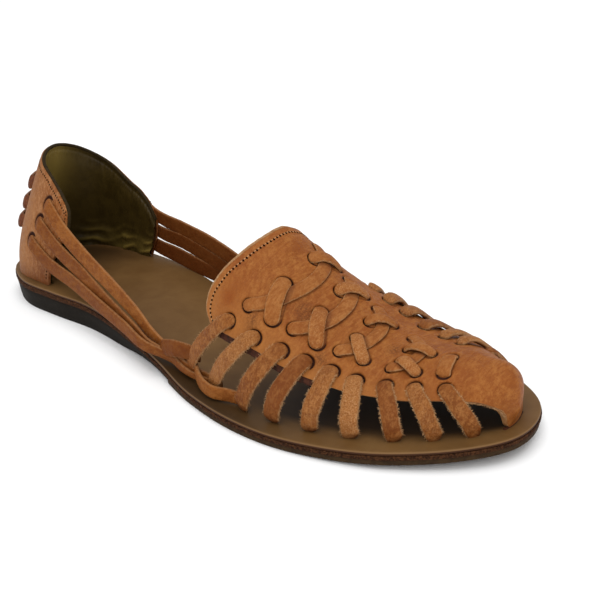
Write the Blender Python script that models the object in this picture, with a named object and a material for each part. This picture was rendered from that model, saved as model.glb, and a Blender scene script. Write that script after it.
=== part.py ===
# A right huarache sandal, women's EU 39, standing on its sole.
# +X is the outer side of the foot, +Y the toe, +Z up. Sizes are in millimetres and MM makes them metres.
# Each piece is worked out from the sole's outline and the last, the foot's form that the upper is drawn over.

import bpy
import bmesh
import numpy as np

MM = 0.001

# Driving dimensions
SOLE_LENGTH = 262.0
FOOTBED_AT_HEEL = 11.5        # top of the footbed above the floor
FOOTBED_AT_BALL = 4.6
TOE_SPRING = 4.2              # rise of the sole from the ball to the tip
ARCH_LIFT = 1.5               # clearance under the waist
INSOLE_THICK = 1.1
MIDSOLE_AT_HEEL = 2.1
MIDSOLE_AT_BALL = 1.4
LEATHER = 2.0                 # the vamp's wall
STRAP_THICK = 1.8
COUNTER_WALL = 2.6            # heel cup with its lining
GAP = 0.3                     # between pieces that meet
HEEL_FRONT = 140.0            # where the rubber wedge ends and the forefoot sole begins
EDGE_BREAK = 0.35             # chamfer along the edges of the sole's layers
INSOLE_INSET = 0.3            # how far each layer's side stands in from the outline
HEEL_INSET = 0.3
FOREFOOT_INSET = 0.4
HEEL_TAPER = 0.8              # the heel's foot is this much narrower than its top on each side

# Where the footbed comes down and where the toe spring starts, as shares of the length
DROP_FROM, DROP_TO = 0.25, 0.62
SPRING_FROM = 0.72
ARCH_FROM, ARCH_TO = 0.36, 0.56

# Outline of the sole: share of the length, outer and inner edge, and the bare margin outside the upper
SOLE_COLUMNS = ("along", "lateral", "medial", "lateral_margin", "medial_margin")
SOLE_ROWS = (
    (0.02, 17.2, -14.0, 3.0, 3.0),
    (0.06, 24.4, -22.6, 3.0, 3.0),
    (0.12, 29.2, -28.1, 3.0, 3.0),
    (0.20, 29.0, -29.4, 3.0, 3.0),
    (0.30, 27.5, -27.1, 4.0, 4.0),
    (0.40, 30.2, -24.0, 5.5, 5.0),
    (0.50, 35.0, -25.3, 6.0, 6.0),
    (0.60, 42.0, -32.9, 6.0, 6.4),
    (0.68, 44.9, -39.4, 5.6, 6.4),
    (0.75, 44.3, -43.4, 5.8, 6.3),
    (0.82, 40.0, -43.4, 6.4, 6.2),
    (0.88, 33.6, -39.3, 6.4, 6.1),
    (0.93, 24.7, -32.2, 6.1, 6.0),
    (0.97, 14.5, -23.5, 6.0, 6.0),
)
HEEL_BACK_X, TOE_TIP_X, TOE_MARGIN = 0.0, -3.2, 5.6

# Height of the last's ridge over the footbed
CROWN_COLUMNS = ("y", "height")
CROWN_ROWS = (
    (130.0, 74.0), (155.0, 58.2), (170.0, 48.0), (185.0, 36.8), (200.0, 27.4),
    (215.0, 21.8), (230.0, 20.6), (242.0, 21.4), (256.0, 20.0),
)
LAST_FULLNESS = 1.9           # exponent of the section's superellipse, 2 is an ellipse
RIDGE_SHARE = 0.86            # how far the ridge follows the middle of the section
RIDGE_OFFSET = -0.6
TOE_ROUND_FROM = 234.0        # here the last begins to close over the toes
TOE_ROUNDNESS = 3.0
TOE_WALL = 7.6                # height of the upright front of the toe

# The vamp's back edge, the throat: share of the half width, and how far back of the ridge it runs
THROAT_Y = 168.2
THROAT_COLUMNS = ("share", "back")
THROAT_ROWS = ((0.0, 0.0), (0.25, 0.6), (0.5, 3.2), (0.72, 7.4), (0.86, 9.6), (0.93, 9.0), (1.0, 5.2))

# The vamp's lower edge: how far down the section it reaches, 0 at the ridge and 1 at the footbed.
# It comes down to the footbed only at the toe, which leaves a window on each side of the lobe there.
EDGE_COLUMNS = ("y", "lateral", "medial")
EDGE_ROWS = (
    (158.0, 0.72, 0.72), (171.7, 0.677, 0.68), (184.0, 0.632, 0.64), (193.0, 0.615, 0.62),
    (203.0, 0.597, 0.61), (214.0, 0.595, 0.60), (224.0, 0.588, 0.60), (232.0, 0.60, 0.61),
    (242.0, 0.617, 0.63), (248.5, 0.62, 0.66), (251.5, 0.64, 0.75), (253.6, 0.70, 0.92),
    (255.0, 0.82, 1.0), (256.2, 1.0, 1.0), (260.0, 1.0, 1.0),
)

# Side straps: where each leaves its slot in the vamp, seen from above, and where it meets the footbed;
# bow is how far it swings towards the toe on its way
SIDE_COLUMNS = ("slot_x", "slot_y", "foot_y", "bow", "width")
LATERAL_STRAPS = (
    (31.0, 172.0, 146.0, 0.6, 7.0), (30.2, 182.6, 163.0, 0.8, 7.2), (27.6, 192.8, 180.3, 0.0, 7.4),
    (25.2, 201.0, 194.2, -0.6, 7.4), (22.9, 208.8, 208.0, 0.3, 7.2), (20.6, 216.8, 221.2, 1.2, 7.4),
    (17.5, 225.0, 233.2, 2.4, 6.8), (14.2, 233.0, 243.0, 2.2, 6.6), (11.0, 241.8, 251.6, 1.8, 6.4),
)
MEDIAL_STRAPS = (
    (-23.0, 170.0, 141.5, 0.6, 7.0), (-22.0, 180.6, 158.0, 0.8, 7.2), (-20.8, 190.6, 176.0, 0.0, 7.4),
    (-19.8, 200.0, 190.5, -0.4, 7.4), (-19.2, 208.6, 204.0, 0.3, 7.2), (-18.8, 216.8, 216.5, 1.0, 7.4),
    (-18.4, 224.2, 227.5, 1.8, 6.8), (-17.8, 231.6, 236.6, 1.8, 6.6), (-17.4, 239.2, 244.6, 1.4, 6.4),
)
SLOT_NARROWING = 0.22         # a strap is this much narrower where it leaves its slot
SLOT_SHARE = 0.12             # share of a side strap's length over which it comes out of its slot
STRAP_SUNK = 0.15             # how deep a strap lies into the wall under it
FOOT_SUNK = 0.9               # share of its lift that a side strap loses on its way to the footbed

# The weave: strips over the crossing and strips that curve under them, ends as seen from above
WEAVE_COLUMNS = ("from_x", "from_y", "to_x", "to_y", "width")
OVER_STRIPS = (
    (14.4, 178.6, 26.6, 183.8, 5.9), (-0.2, 178.0, -12.6, 180.6, 5.9),
    (10.9, 191.0, 21.4, 198.4, 5.7), (0.0, 189.8, -10.6, 194.6, 5.7),
    (9.6, 204.2, 15.2, 213.6, 5.4), (-0.6, 202.2, -8.8, 208.2, 5.4),
    (8.4, 220.8, 9.9, 230.8, 5.0), (1.1, 219.6, -1.4, 228.8, 5.0),
)
UNDER_STRIPS = (
    (27.0, 172.8, -13.0, 170.4, 6.8), (24.4, 188.6, -11.4, 186.0, 6.8),
    (19.4, 204.6, -10.6, 200.4, 6.4), (14.6, 221.0, -8.2, 217.2, 6.2),
)
UNDER_DIP = 9.5               # how far towards the toe a curved strip bows in its middle
UNDER_HEIGHT, OVER_HEIGHT, BAR_HEIGHT = 1.1, 2.3, 1.3    # of the strips' tops over the vamp
UNDER_END, OVER_END = 0.08, 0.2    # share of a strip's length over which its end comes down
END_DEPTH = 0.4               # a strip's end comes down to this depth below the vamp's surface
TOE_BAR = (0.2, 234.9, 8.0, 238.7, 5.4)

# Heel cup: height over the footbed, half width, middle and back of its section
CUP_COLUMNS = ("height", "half_width", "middle", "back")
CUP_ROWS = (
    (0.0, 26.4, -0.5, 2.6), (10.0, 25.9, -1.0, 3.6), (19.0, 24.6, -1.6, 6.2),
    (28.0, 22.9, -2.6, 9.4), (36.0, 21.2, -3.8, 12.0), (46.0, 18.6, -5.4, 15.2),
    (54.0, 16.2, -6.6, 18.4),
)
# The cup's rim: place along the cup from its inner front (-1) round the back (0) to its outer front (1)
RIM_COLUMNS = ("place", "height")
RIM_ROWS = (
    (-1.0, 19.0), (-0.95, 26.0), (-0.88, 30.0), (-0.72, 34.5), (-0.55, 39.5), (-0.35, 45.4), (-0.12, 50.6),
    (0.1, 52.6), (0.35, 50.4), (0.55, 46.4), (0.72, 41.6), (0.88, 36.6), (0.95, 33.6), (1.0, 27.5),
)
# Its front edges: share of the rim's height there, and y on the outer and the inner side
FRONT_COLUMNS = ("share", "lateral", "medial")
FRONT_PLACE = 0.95            # the rim's height here sets the scale of the shares
FRONT_ROWS = ((0.0, 46.6, 50.2), (0.25, 47.8, 53.6), (0.5, 52.6, 56.6), (0.75, 57.4, 57.8), (1.0, 60.2, 57.4))
CUP_BACK_SHARE = 0.55         # share of the cup's half length that goes round the back

# Straps over the back of the cup: height over the footbed at the back and at both ends, and end places
BACK_COLUMNS = ("middle_height", "end_height", "end_place")
BACK_STRAPS = ((39.5, 38.0, 0.30), (30.8, 29.4, 0.31), (22.4, 21.2, 0.32))
BACK_STRAP_WIDTH = 7.0
BACK_STRAP_SUNK = 0.5         # depth of its underside in the cup's wall
BACK_END_DEPTH = 1.1          # its ends come down to this depth

# Quarter straps. First the stretch over the cup, by place and height; then the free stretch, by x, y and
# height over the footbed; last the stretch between the side straps, by y, height and distance from the last.
# The upper one runs inside the first side strap, outside the second and ends behind the third; the other two
# run outside the first and end behind the second. The width goes from the cup's end to the woven end.
CUP_STRETCH = ("place", "height")
FREE_STRETCH = ("x", "y", "height")
WOVEN_STRETCH = ("y", "height", "out")
LATERAL_QUARTERS = (
    dict(cup=((0.69, 34.6), (0.80, 31.0), (0.93, 26.8)),
         free=((24.9, 78.0, 18.4), (28.0, 97.0, 15.2), (30.6, 116.0, 10.8), (32.4, 127.0, 7.4)),
         woven=((134.0, 5.2, 3.0), (140.5, 4.4, 0.2), (147.0, 4.6, -2.4), (153.0, 4.4, -1.0),
                (158.5, 3.9, 1.2), (164.0, 3.4, 2.4), (169.5, 3.1, 1.8), (174.0, 3.0, -0.8),
                (178.5, 2.9, -2.4)),
         widths=(8.0, 5.2)),
    dict(cup=((0.61, 26.7), (0.75, 23.2), (0.94, 19.2)),
         free=((26.4, 76.0, 13.2), (28.6, 98.0, 8.4), (31.8, 116.0, 6.2), (34.6, 129.0, 4.4)),
         woven=((140.0, 3.0, 2.0), (147.0, 3.0, 0.9), (154.0, 2.9, -0.8), (161.0, 2.9, -2.4),
                (168.0, 2.9, -2.4)),
         widths=(6.8, 5.0)),
    dict(cup=((0.56, 18.0), (0.70, 14.6), (0.90, 10.8)),
         free=((26.8, 70.0, 7.6), (30.2, 90.0, 5.6), (34.0, 113.0, 5.2), (36.6, 129.0, 4.6)),
         woven=((140.0, 3.4, 3.4), (147.0, 2.9, 2.6), (152.5, 2.9, 0.8)),
         widths=(6.4, 5.0)),
)
MEDIAL_QUARTERS = (
    dict(cup=((0.68, 30.0), (0.80, 26.0), (0.93, 21.6)),
         free=((-26.4, 76.0, 18.0), (-24.6, 96.0, 17.2), (-23.6, 113.0, 14.8), (-24.2, 124.0, 11.0)),
         woven=((133.0, 5.6, 1.6), (139.5, 4.6, -0.6), (145.0, 4.6, -2.4), (150.5, 4.4, -1.0),
                (155.0, 3.9, 1.0), (159.5, 3.4, 1.8), (165.0, 3.1, 1.2), (169.5, 3.0, -0.8),
                (174.0, 2.9, -2.4)),
         widths=(7.4, 5.2)),
    dict(cup=((0.62, 22.0), (0.76, 18.0), (0.94, 13.6)),
         free=((-26.6, 76.0, 11.0), (-25.2, 96.0, 8.8), (-24.8, 113.0, 6.0), (-25.4, 125.0, 3.8)),
         woven=((135.0, 3.0, 1.6), (142.0, 3.0, 0.8), (149.0, 2.9, -0.8), (156.0, 2.9, -2.4),
                (163.0, 2.9, -2.4)),
         widths=(6.6, 5.0)),
    dict(cup=((0.56, 14.6), (0.70, 10.4), (0.90, 6.6)),
         free=((-26.2, 72.0, 4.4), (-25.6, 90.0, 3.3), (-25.8, 111.0, 3.0), (-26.8, 125.0, 2.9)),
         woven=((135.0, 2.9, 2.9), (142.0, 2.9, 2.3), (147.5, 2.9, 0.6)),
         widths=(6.4, 5.0)),
)

# How finely the surfaces are divided
SOLE_STATIONS = 40
VAMP_ROWS, VAMP_COLUMNS = 24, 22
CUP_PLACES, CUP_LEVELS = 28, 6
CUP_SPREAD = 1.3              # angle that packs the cup's places closer at its front edges
OUTLINE_STEPS = 720
SIDE_STATIONS, BACK_STATIONS = 9, 11
STRIP_STATIONS, CURVED_STATIONS = 7, 13
QUARTER_STATIONS = 21
NORMAL_REACH = 20.0           # length of a strap's normal when its turning is spread along the path
LIFT_SPAN = 3.0               # between these distances from the last a lift that varies is read straight

# Colour, roughness and metallic value of each material
MATERIALS = {
    "tan_leather": ((0.46, 0.19, 0.075), 0.55, 0.0),
    "footbed_leather": ((0.20, 0.125, 0.075), 0.5, 0.0),
    "edge_leather": ((0.13, 0.045, 0.022), 0.6, 0.0),
    "forefoot_rubber": ((0.13, 0.10, 0.055), 0.7, 0.0),
    "heel_rubber": ((0.022, 0.020, 0.018), 0.6, 0.0),
}


def column(rows, names, name):
    """One named column of a table."""
    return np.array([row[names.index(name)] for row in rows], dtype=float)


def smooth(knots, values, at):
    """Cubic pieces through the table's values; the slope at a row is that of its neighbours."""
    slopes = np.gradient(values, knots)
    at = np.clip(at, knots[0], knots[-1])
    left = np.clip(np.searchsorted(knots, at, side="right") - 1, 0, len(knots) - 2)
    span = knots[left + 1] - knots[left]
    t = (at - knots[left]) / span
    return ((1 + 2 * t) * (1 - t) ** 2 * values[left] + t * (1 - t) ** 2 * span * slopes[left]
            + t * t * (3 - 2 * t) * values[left + 1] + t * t * (t - 1) * span * slopes[left + 1])


def ease(value, start, end):
    """0 before start, 1 after end, and a smooth step between."""
    t = np.clip((value - start) / (end - start), 0.0, 1.0)
    return t * t * (3 - 2 * t)


def footbedTop(y):
    """Height of the footbed: high under the heel, low under the ball, rising at the toe."""
    share = y / SOLE_LENGTH
    drop = (FOOTBED_AT_HEEL - FOOTBED_AT_BALL) * ease(share, DROP_FROM, DROP_TO)
    return FOOTBED_AT_HEEL - drop + toeSpring(y)


def toeSpring(y):
    return TOE_SPRING * (np.maximum(y / SOLE_LENGTH - SPRING_FROM, 0.0) / (1 - SPRING_FROM)) ** 2


def insoleBottom(y):
    return footbedTop(y) - INSOLE_THICK


def midsoleTop(y):
    return insoleBottom(y) - GAP


def midsoleBottom(y):
    share = ease(y / SOLE_LENGTH, DROP_FROM, DROP_TO)
    return midsoleTop(y) - MIDSOLE_AT_HEEL - (MIDSOLE_AT_BALL - MIDSOLE_AT_HEEL) * share


def rubberTop(y):
    return midsoleBottom(y) - GAP


def rubberBottom(y):
    """Flat on the floor at heel and ball, raised under the waist and the toe."""
    share = y / SOLE_LENGTH
    t = np.clip((share - ARCH_FROM) / (ARCH_TO - ARCH_FROM), 0.0, 1.0)
    return ARCH_LIFT * np.sin(np.pi * t) ** 2 + toeSpring(y)


def soleOutline():
    """The sole's outline as dense x, y and outward normal, from the heel's back round the outer side."""
    along = column(SOLE_ROWS, SOLE_COLUMNS, "along")
    turn = np.arccos(1 - 2 * along)
    knots = np.concatenate([[0.0], turn, [np.pi], 2 * np.pi - turn[::-1]])
    across = np.concatenate([[HEEL_BACK_X], column(SOLE_ROWS, SOLE_COLUMNS, "lateral"), [TOE_TIP_X],
                             column(SOLE_ROWS, SOLE_COLUMNS, "medial")[::-1]])
    knots = np.concatenate([knots - 2 * np.pi, knots, knots + 2 * np.pi])
    angle = np.linspace(0.0, 2 * np.pi, OUTLINE_STEPS + 1)
    x = smooth(knots, np.tile(across, 3), angle)
    y = SOLE_LENGTH * (1 - np.cos(angle)) / 2
    step = np.stack([np.roll(x[:-1], -1) - np.roll(x[:-1], 1), np.roll(y[:-1], -1) - np.roll(y[:-1], 1)])
    step = step / np.hypot(*step)
    step = np.concatenate([step, step[:, :1]], axis=1)
    return angle, x, y, step[1], -step[0]


ANGLE, OUTLINE_X, OUTLINE_Y, NORMAL_X, NORMAL_Y = soleOutline()
CENTRE_X = (OUTLINE_X.max() + OUTLINE_X.min()) / 2
CENTRE_Y = SOLE_LENGTH / 2


def soleEdge(angle, inset):
    """Points of the outline, moved inwards by inset."""
    x = np.interp(angle, ANGLE, OUTLINE_X - inset * NORMAL_X)
    y = np.interp(angle, ANGLE, OUTLINE_Y - inset * NORMAL_Y)
    return x, y


def lastSide(y, side, lift):
    """Edge of the last on the footbed at y; lift, one value or one for each y, moves it outwards."""
    if np.ndim(lift):
        low, high = lastSide(y, side, -LIFT_SPAN), lastSide(y, side, LIFT_SPAN)
        return low + (high - low) * (lift + LIFT_SPAN) / (2 * LIFT_SPAN)
    half = OUTLINE_STEPS // 2
    part = slice(0, half + 1) if side > 0 else slice(half, None)
    turn = np.where(ANGLE <= np.pi, ANGLE, 2 * np.pi - ANGLE)[part]
    knots = np.concatenate([[0.0], column(SOLE_ROWS, SOLE_COLUMNS, "along"), [1.0]])
    margins = column(SOLE_ROWS, SOLE_COLUMNS, "lateral_margin" if side > 0 else "medial_margin")
    margins = np.concatenate([margins[:1], margins, [TOE_MARGIN]])
    inset = smooth(knots, margins, (1 - np.cos(turn)) / 2) - lift
    x = OUTLINE_X[part] - inset * NORMAL_X[part]
    along = OUTLINE_Y[part] - inset * NORMAL_Y[part]
    order = np.argsort(along)
    return np.interp(y, along[order], x[order])


TOE_Y = SOLE_LENGTH - TOE_MARGIN


def lastPoint(y, reach, lift):
    """A point of the last: y along it, reach from its ridge (0) to the footbed (1, inner side -1)."""
    forward = y + lift * ease(y, TOE_ROUND_FROM, TOE_Y)
    lateral = lastSide(forward, 1, lift)
    medial = lastSide(forward, -1, lift)
    ridge = ridgeX(lateral, medial)
    turn = np.abs(reach) * np.pi / 2
    across = np.sin(turn) ** (2 / LAST_FULLNESS)
    x = ridge + np.where(reach > 0, lateral - ridge, medial - ridge) * across
    up = crown(y) + lift
    z = footbedTop(forward) + up * np.maximum(np.cos(turn), 0.0) ** (2 / LAST_FULLNESS)
    return np.stack(np.broadcast_arrays(x, forward, z), axis=-1)


def ridgeX(lateral, medial):
    return RIDGE_SHARE * (lateral + medial) / 2 + RIDGE_OFFSET


def crown(y):
    """Height of the ridge over the footbed, closing to the upright wall of the toe."""
    full = smooth(column(CROWN_ROWS, CROWN_COLUMNS, "y"), column(CROWN_ROWS, CROWN_COLUMNS, "height"), y)
    t = np.clip((y - TOE_ROUND_FROM) / (TOE_Y - TOE_ROUND_FROM), 0.0, 1.0)
    return TOE_WALL + (full - TOE_WALL) * (1 - t ** TOE_ROUNDNESS) ** (1 / TOE_ROUNDNESS)


def reachAt(x, y):
    """How far down the section a point seen from above lies, negative on the inner side."""
    lateral = lastSide(y, 1, 0.0)
    medial = lastSide(y, -1, 0.0)
    ridge = ridgeX(lateral, medial)
    share = (x - ridge) / np.where(x > ridge, lateral - ridge, ridge - medial)
    return np.sign(share) * np.arcsin(np.minimum(np.abs(share), 1.0) ** (LAST_FULLNESS / 2)) * 2 / np.pi


def reachAtHeight(y, height):
    """How far down the section a point at this height over the footbed lies."""
    return np.arccos(np.clip(height / crown(y), 0.0, 1.0) ** (LAST_FULLNESS / 2)) * 2 / np.pi


def cupPoint(place, height, lift):
    """A point of the heel cup: place from its inner front (-1) to its outer front (1)."""
    rows = {name: column(CUP_ROWS, CUP_COLUMNS, name) for name in CUP_COLUMNS}
    half = smooth(rows["height"], rows["half_width"], height)
    middle = smooth(rows["height"], rows["middle"], height)
    centreY = smooth(rows["height"], rows["back"], height) + half
    share = np.clip(height / rimHeight(np.sign(place) * FRONT_PLACE), 0.0, 1.0)
    side = np.where(place > 0, 1, 0)
    knots = column(FRONT_ROWS, FRONT_COLUMNS, "share")
    front = np.where(side > 0, smooth(knots, column(FRONT_ROWS, FRONT_COLUMNS, "lateral"), share),
                     smooth(knots, column(FRONT_ROWS, FRONT_COLUMNS, "medial"), share))
    turn = np.clip(np.abs(place) / CUP_BACK_SHARE, 0.0, 1.0) * np.pi / 2
    ahead = np.clip((np.abs(place) - CUP_BACK_SHARE) / (1 - CUP_BACK_SHARE), 0.0, None)
    x = middle + np.sign(place) * (half + lift) * np.sin(turn)
    y = centreY - (half + lift) * np.cos(turn) + ahead * (front - centreY)
    z = FOOTBED_AT_HEEL + height
    return np.stack(np.broadcast_arrays(x, y, z), axis=-1)


def rimHeight(place):
    return smooth(column(RIM_ROWS, RIM_COLUMNS, "place"), column(RIM_ROWS, RIM_COLUMNS, "height"), place)


def unit(vectors):
    return vectors / np.linalg.norm(vectors, axis=-1, keepdims=True)


def outward(surface, first, second, lift):
    """Normal of a surface by differences, turned to the side that lift goes to."""
    small = 0.01
    here = surface(first, second, lift)
    along = surface(first + small, second, lift) - here
    across = surface(first, second + small, lift) - here
    out = surface(first, second, lift + small) - here
    normal = unit(np.cross(along, across))
    return normal * np.sign(np.sum(normal * out, axis=-1, keepdims=True))


def bodyFrom(vertices, faces):
    """A closed mesh from millimetre points, its doubles merged and its faces pointing out."""
    shape = bmesh.new()
    points = (np.asarray(vertices) - (CENTRE_X, CENTRE_Y, 0.0)) * MM
    corners = [shape.verts.new(point) for point in points.tolist()]
    for face in faces:
        shape.faces.new([corners[index] for index in face])
    bmesh.ops.remove_doubles(shape, verts=shape.verts, dist=1e-6)
    bmesh.ops.recalc_face_normals(shape, faces=shape.faces)
    return shape


def addObject(name, shape, material=None):
    """Put a shape into the scene as a named object."""
    mesh = bpy.data.meshes.new(name)
    shape.to_mesh(mesh)
    shape.free()
    mesh.shade_smooth()
    mesh.set_sharp_from_angle(angle=np.radians(35))
    item = bpy.data.objects.new(name, mesh)
    bpy.context.scene.collection.objects.link(item)
    if material:
        mesh.materials.append(leatherOrRubber(material))
    return item


def leatherOrRubber(name):
    """A plain Principled material with its colour, roughness and metallic value."""
    if name in bpy.data.materials:
        return bpy.data.materials[name]
    colour, roughness, metallic = MATERIALS[name]
    material = bpy.data.materials.new(name)
    material.use_nodes = True
    shader = material.node_tree.nodes["Principled BSDF"]
    shader.inputs["Base Color"].default_value = (*colour, 1.0)
    shader.inputs["Roughness"].default_value = roughness
    shader.inputs["Metallic"].default_value = metallic
    return material


def tubeFaces(rings, points, capStart, capEnd):
    """Quads between rings of equally many points, with the ends filled where they are open."""
    faces = []
    for ring in range(rings - 1):
        for point in range(points):
            after = (point + 1) % points
            faces.append((ring * points + point, ring * points + after,
                          (ring + 1) * points + after, (ring + 1) * points + point))
    if capStart:
        faces.append(tuple(range(points)))
    if capEnd:
        faces.append(tuple((rings - 1) * points + point for point in range(points)))
    return faces


def soleLayer(name, material, top, bottom, inset, fromY=0.0, toY=SOLE_LENGTH, taper=0.0):
    """One layer of the sole: rings across it from back to front, its edges broken by a small chamfer."""
    start = np.arccos(1 - 2 * fromY / SOLE_LENGTH)
    end = np.arccos(1 - 2 * toY / SOLE_LENGTH)
    stations = max(int(round(SOLE_STATIONS * (end - start) / np.pi)), 6)
    angle = np.linspace(start, end, stations + 1)
    rings = []
    for side, corners in ((1, (0, 1, 2, 3)), (-1, (3, 2, 1, 0))):
        turn = angle if side > 0 else 2 * np.pi - angle
        for corner in corners:
            depth = inset + EDGE_BREAK * (corner in (0, 3)) + taper * (corner >= 2)
            x, y = soleEdge(turn, depth)
            y = np.clip(y, fromY, toY) if fromY > 0 or toY < SOLE_LENGTH else y
            level = top(y) if corner < 2 else bottom(y)
            level = level - EDGE_BREAK * (corner == 1) + EDGE_BREAK * (corner == 2)
            rings.append(np.stack([x, y, level], axis=-1))
    points = np.stack(rings, axis=1)
    # a cut end is flat, so its corners share one y
    if fromY > 0:
        points[0, :, 1] = fromY
    if toY < SOLE_LENGTH:
        points[-1, :, 1] = toY
    faces = tubeFaces(stations + 1, 8, fromY > 0, toY < SOLE_LENGTH)
    return addObject(name, closeEnds(points.reshape(-1, 3), faces), material)


def closeEnds(vertices, faces):
    """As bodyFrom, but faces that fall together at the heel and toe points are dropped."""
    keys = {}
    index = []
    merged = []
    for vertex in np.round(vertices, 4).tolist():
        key = tuple(vertex)
        if key not in keys:
            keys[key] = len(merged)
            merged.append(vertex)
        index.append(keys[key])
    kept = []
    for face in faces:
        loop = []
        for corner in face:
            if index[corner] not in loop:
                loop.append(index[corner])
        if len(loop) > 2:
            kept.append(tuple(loop))
    return bodyFrom(merged, kept)


def wall(outer, inner, openEnd):
    """A sheet with two skins and closed rims; with openEnd False the last row zips into a seam."""
    rows, columns = outer.shape[:2]
    vertices = np.concatenate([outer.reshape(-1, 3), inner.reshape(-1, 3)])
    under = rows * columns
    faces = []
    for row in range(rows - 1):
        for step in range(columns - 1):
            a = row * columns + step
            quad = (a, a + 1, a + columns + 1, a + columns)
            faces.append(quad)
            faces.append(tuple(under + corner for corner in reversed(quad)))
    for row in range(rows - 1):
        for step in (0, columns - 1):
            a, b = row * columns + step, (row + 1) * columns + step
            faces.append((a, b, under + b, under + a))
    for row in (0, rows - 1) if openEnd else (0,):
        for step in range(columns - 1):
            a = row * columns + step
            faces.append((a, a + 1, under + a + 1, under + a))
    return closeEnds(vertices, faces)


def strip(centres, normals, widths, thick):
    """A leather strap along a path, its two outer edges rounded off."""
    count = len(centres)
    widths = np.broadcast_to(np.asarray(widths, dtype=float), (count,))[:, None]
    thick = np.broadcast_to(np.asarray(thick, dtype=float), (count,))[:, None]
    along = unit(np.gradient(centres, axis=0))
    side = unit(np.cross(along, normals))
    up = np.cross(side, along)
    section = ((-0.5, -0.5), (-0.5, 0.12), (-0.36, 0.5), (0.36, 0.5), (0.5, 0.12), (0.5, -0.5))
    ring = [centres + side * widths * across + up * thick * high for across, high in section]
    points = np.stack(ring, axis=1).reshape(-1, 3)
    points[:, 2] = np.maximum(points[:, 2], footbedTop(points[:, 1]) + GAP)
    return bodyFrom(points, tubeFaces(count, len(section), True, True))


def resample(points, count):
    """Evenly spaced parameters and a smooth curve through a few points."""
    points = np.asarray(points, dtype=float)
    length = np.concatenate([[0.0], np.cumsum(np.linalg.norm(np.diff(points, axis=0), axis=1))])
    at = np.linspace(0.0, length[-1], count)
    return np.stack([smooth(length, points[:, axis], at) for axis in range(points.shape[1])], axis=-1)


def vampWall():
    """The vamp: one wall over the last from throat to toe, its lobe closing down to the footbed."""
    share = np.linspace(-1.0, 1.0, VAMP_COLUMNS + 1)[None, :]
    along = np.sin(np.linspace(0.0, np.pi / 2, VAMP_ROWS + 1))[:, None]
    back = smooth(column(THROAT_ROWS, THROAT_COLUMNS, "share"), column(THROAT_ROWS, THROAT_COLUMNS, "back"),
                  np.abs(share))
    y = (THROAT_Y - back) * (1 - along) + TOE_Y * along
    lateral = smooth(column(EDGE_ROWS, EDGE_COLUMNS, "y"), column(EDGE_ROWS, EDGE_COLUMNS, "lateral"), y)
    medial = smooth(column(EDGE_ROWS, EDGE_COLUMNS, "y"), column(EDGE_ROWS, EDGE_COLUMNS, "medial"), y)
    reach = share * np.minimum(np.where(share > 0, lateral, medial), 1.0)
    skins = []
    for lift in (0.0, -LEATHER):
        skin = lastPoint(y, reach, lift)
        floor = footbedTop(skin[..., 1]) + GAP
        skin[..., 2] = np.maximum(skin[..., 2], floor)
        skins.append(skin)
    return wall(skins[0], skins[1], False)


def sideStrap(row, side):
    """A strap from inside the vamp's wall, over its edge and down to the footbed."""
    slotX, slotY, footY, bow, width = row
    t = np.linspace(0.0, 1.0, SIDE_STATIONS)
    start = reachAt(slotX, slotY)
    y = slotY + (footY - slotY) * t + bow * np.sin(np.pi * t)
    reach = start + (side - start) * t
    widths = width * (1 - SLOT_NARROWING * (1 - ease(t, 0.0, 0.6)))
    rise = ease(t, 0.0, SLOT_SHARE) * (1 - FOOT_SUNK * ease(t, 0.35, 0.8))
    lift = -LEATHER / 2 + rise * (LEATHER / 2 + STRAP_THICK / 2 - STRAP_SUNK)
    centres = lastPoint(y, reach, lift)
    normals = outward(lastPoint, y, np.clip(reach, -0.98, 0.98), 0.0)
    centres[-1, 2] = footbedTop(centres[-1, 1]) + 2 * GAP
    return strip(centres, normals, widths, STRAP_THICK)


def weaveStrip(row, dip, height, ends):
    """A strip raised on the vamp to height, rooted in its wall; dip bows it towards the toe."""
    fromX, fromY, toX, toY, width = row
    t = np.linspace(0.0, 1.0, STRIP_STATIONS if dip == 0 else CURVED_STATIONS)
    x = fromX + (toX - fromX) * t
    y = fromY + (toY - fromY) * t + dip * np.sin(np.pi * t) ** 1.2
    reach = reachAt(x, y)
    top = -END_DEPTH + (height + END_DEPTH) * ease(t, 0.0, ends) * ease(1 - t, 0.0, ends)
    root = -LEATHER / 2
    centres = lastPoint(y, reach, (top + root) / 2)
    return strip(centres, outward(lastPoint, y, reach, 0.0), width, top - root)


def quarterStrap(spec, side):
    """A strap from its slot on the heel cup to the side straps, three stretches on one smooth path."""
    place = column(spec["cup"], CUP_STRETCH, "place") * side
    height = column(spec["cup"], CUP_STRETCH, "height")
    over = 2 * GAP + STRAP_THICK / 2
    onCup = cupPoint(place, height, over)
    cupNormals = outward(cupPoint, place, height, over)
    free = np.array(spec["free"])
    free[:, 2] += footbedTop(free[:, 1])
    y = column(spec["woven"], WOVEN_STRETCH, "y")
    reach = reachAtHeight(y, column(spec["woven"], WOVEN_STRETCH, "height")) * side
    woven = lastPoint(y, reach, column(spec["woven"], WOVEN_STRETCH, "out"))
    wovenNormals = outward(lastPoint, y, reach, 0.0)
    freeNormals = unit(np.outer(np.linspace(1, 0, len(free) + 2)[1:-1], cupNormals[-1])
                       + np.outer(np.linspace(0, 1, len(free) + 2)[1:-1], wovenNormals[0]))
    centres = np.concatenate([onCup, free, woven])
    normals = np.concatenate([cupNormals, freeNormals, wovenNormals])
    both = resample(np.concatenate([centres, normals * NORMAL_REACH], axis=1), QUARTER_STATIONS)
    widths = np.linspace(*spec["widths"], len(both))
    return strip(both[:, :3], unit(both[:, 3:]), widths, STRAP_THICK)


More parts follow.
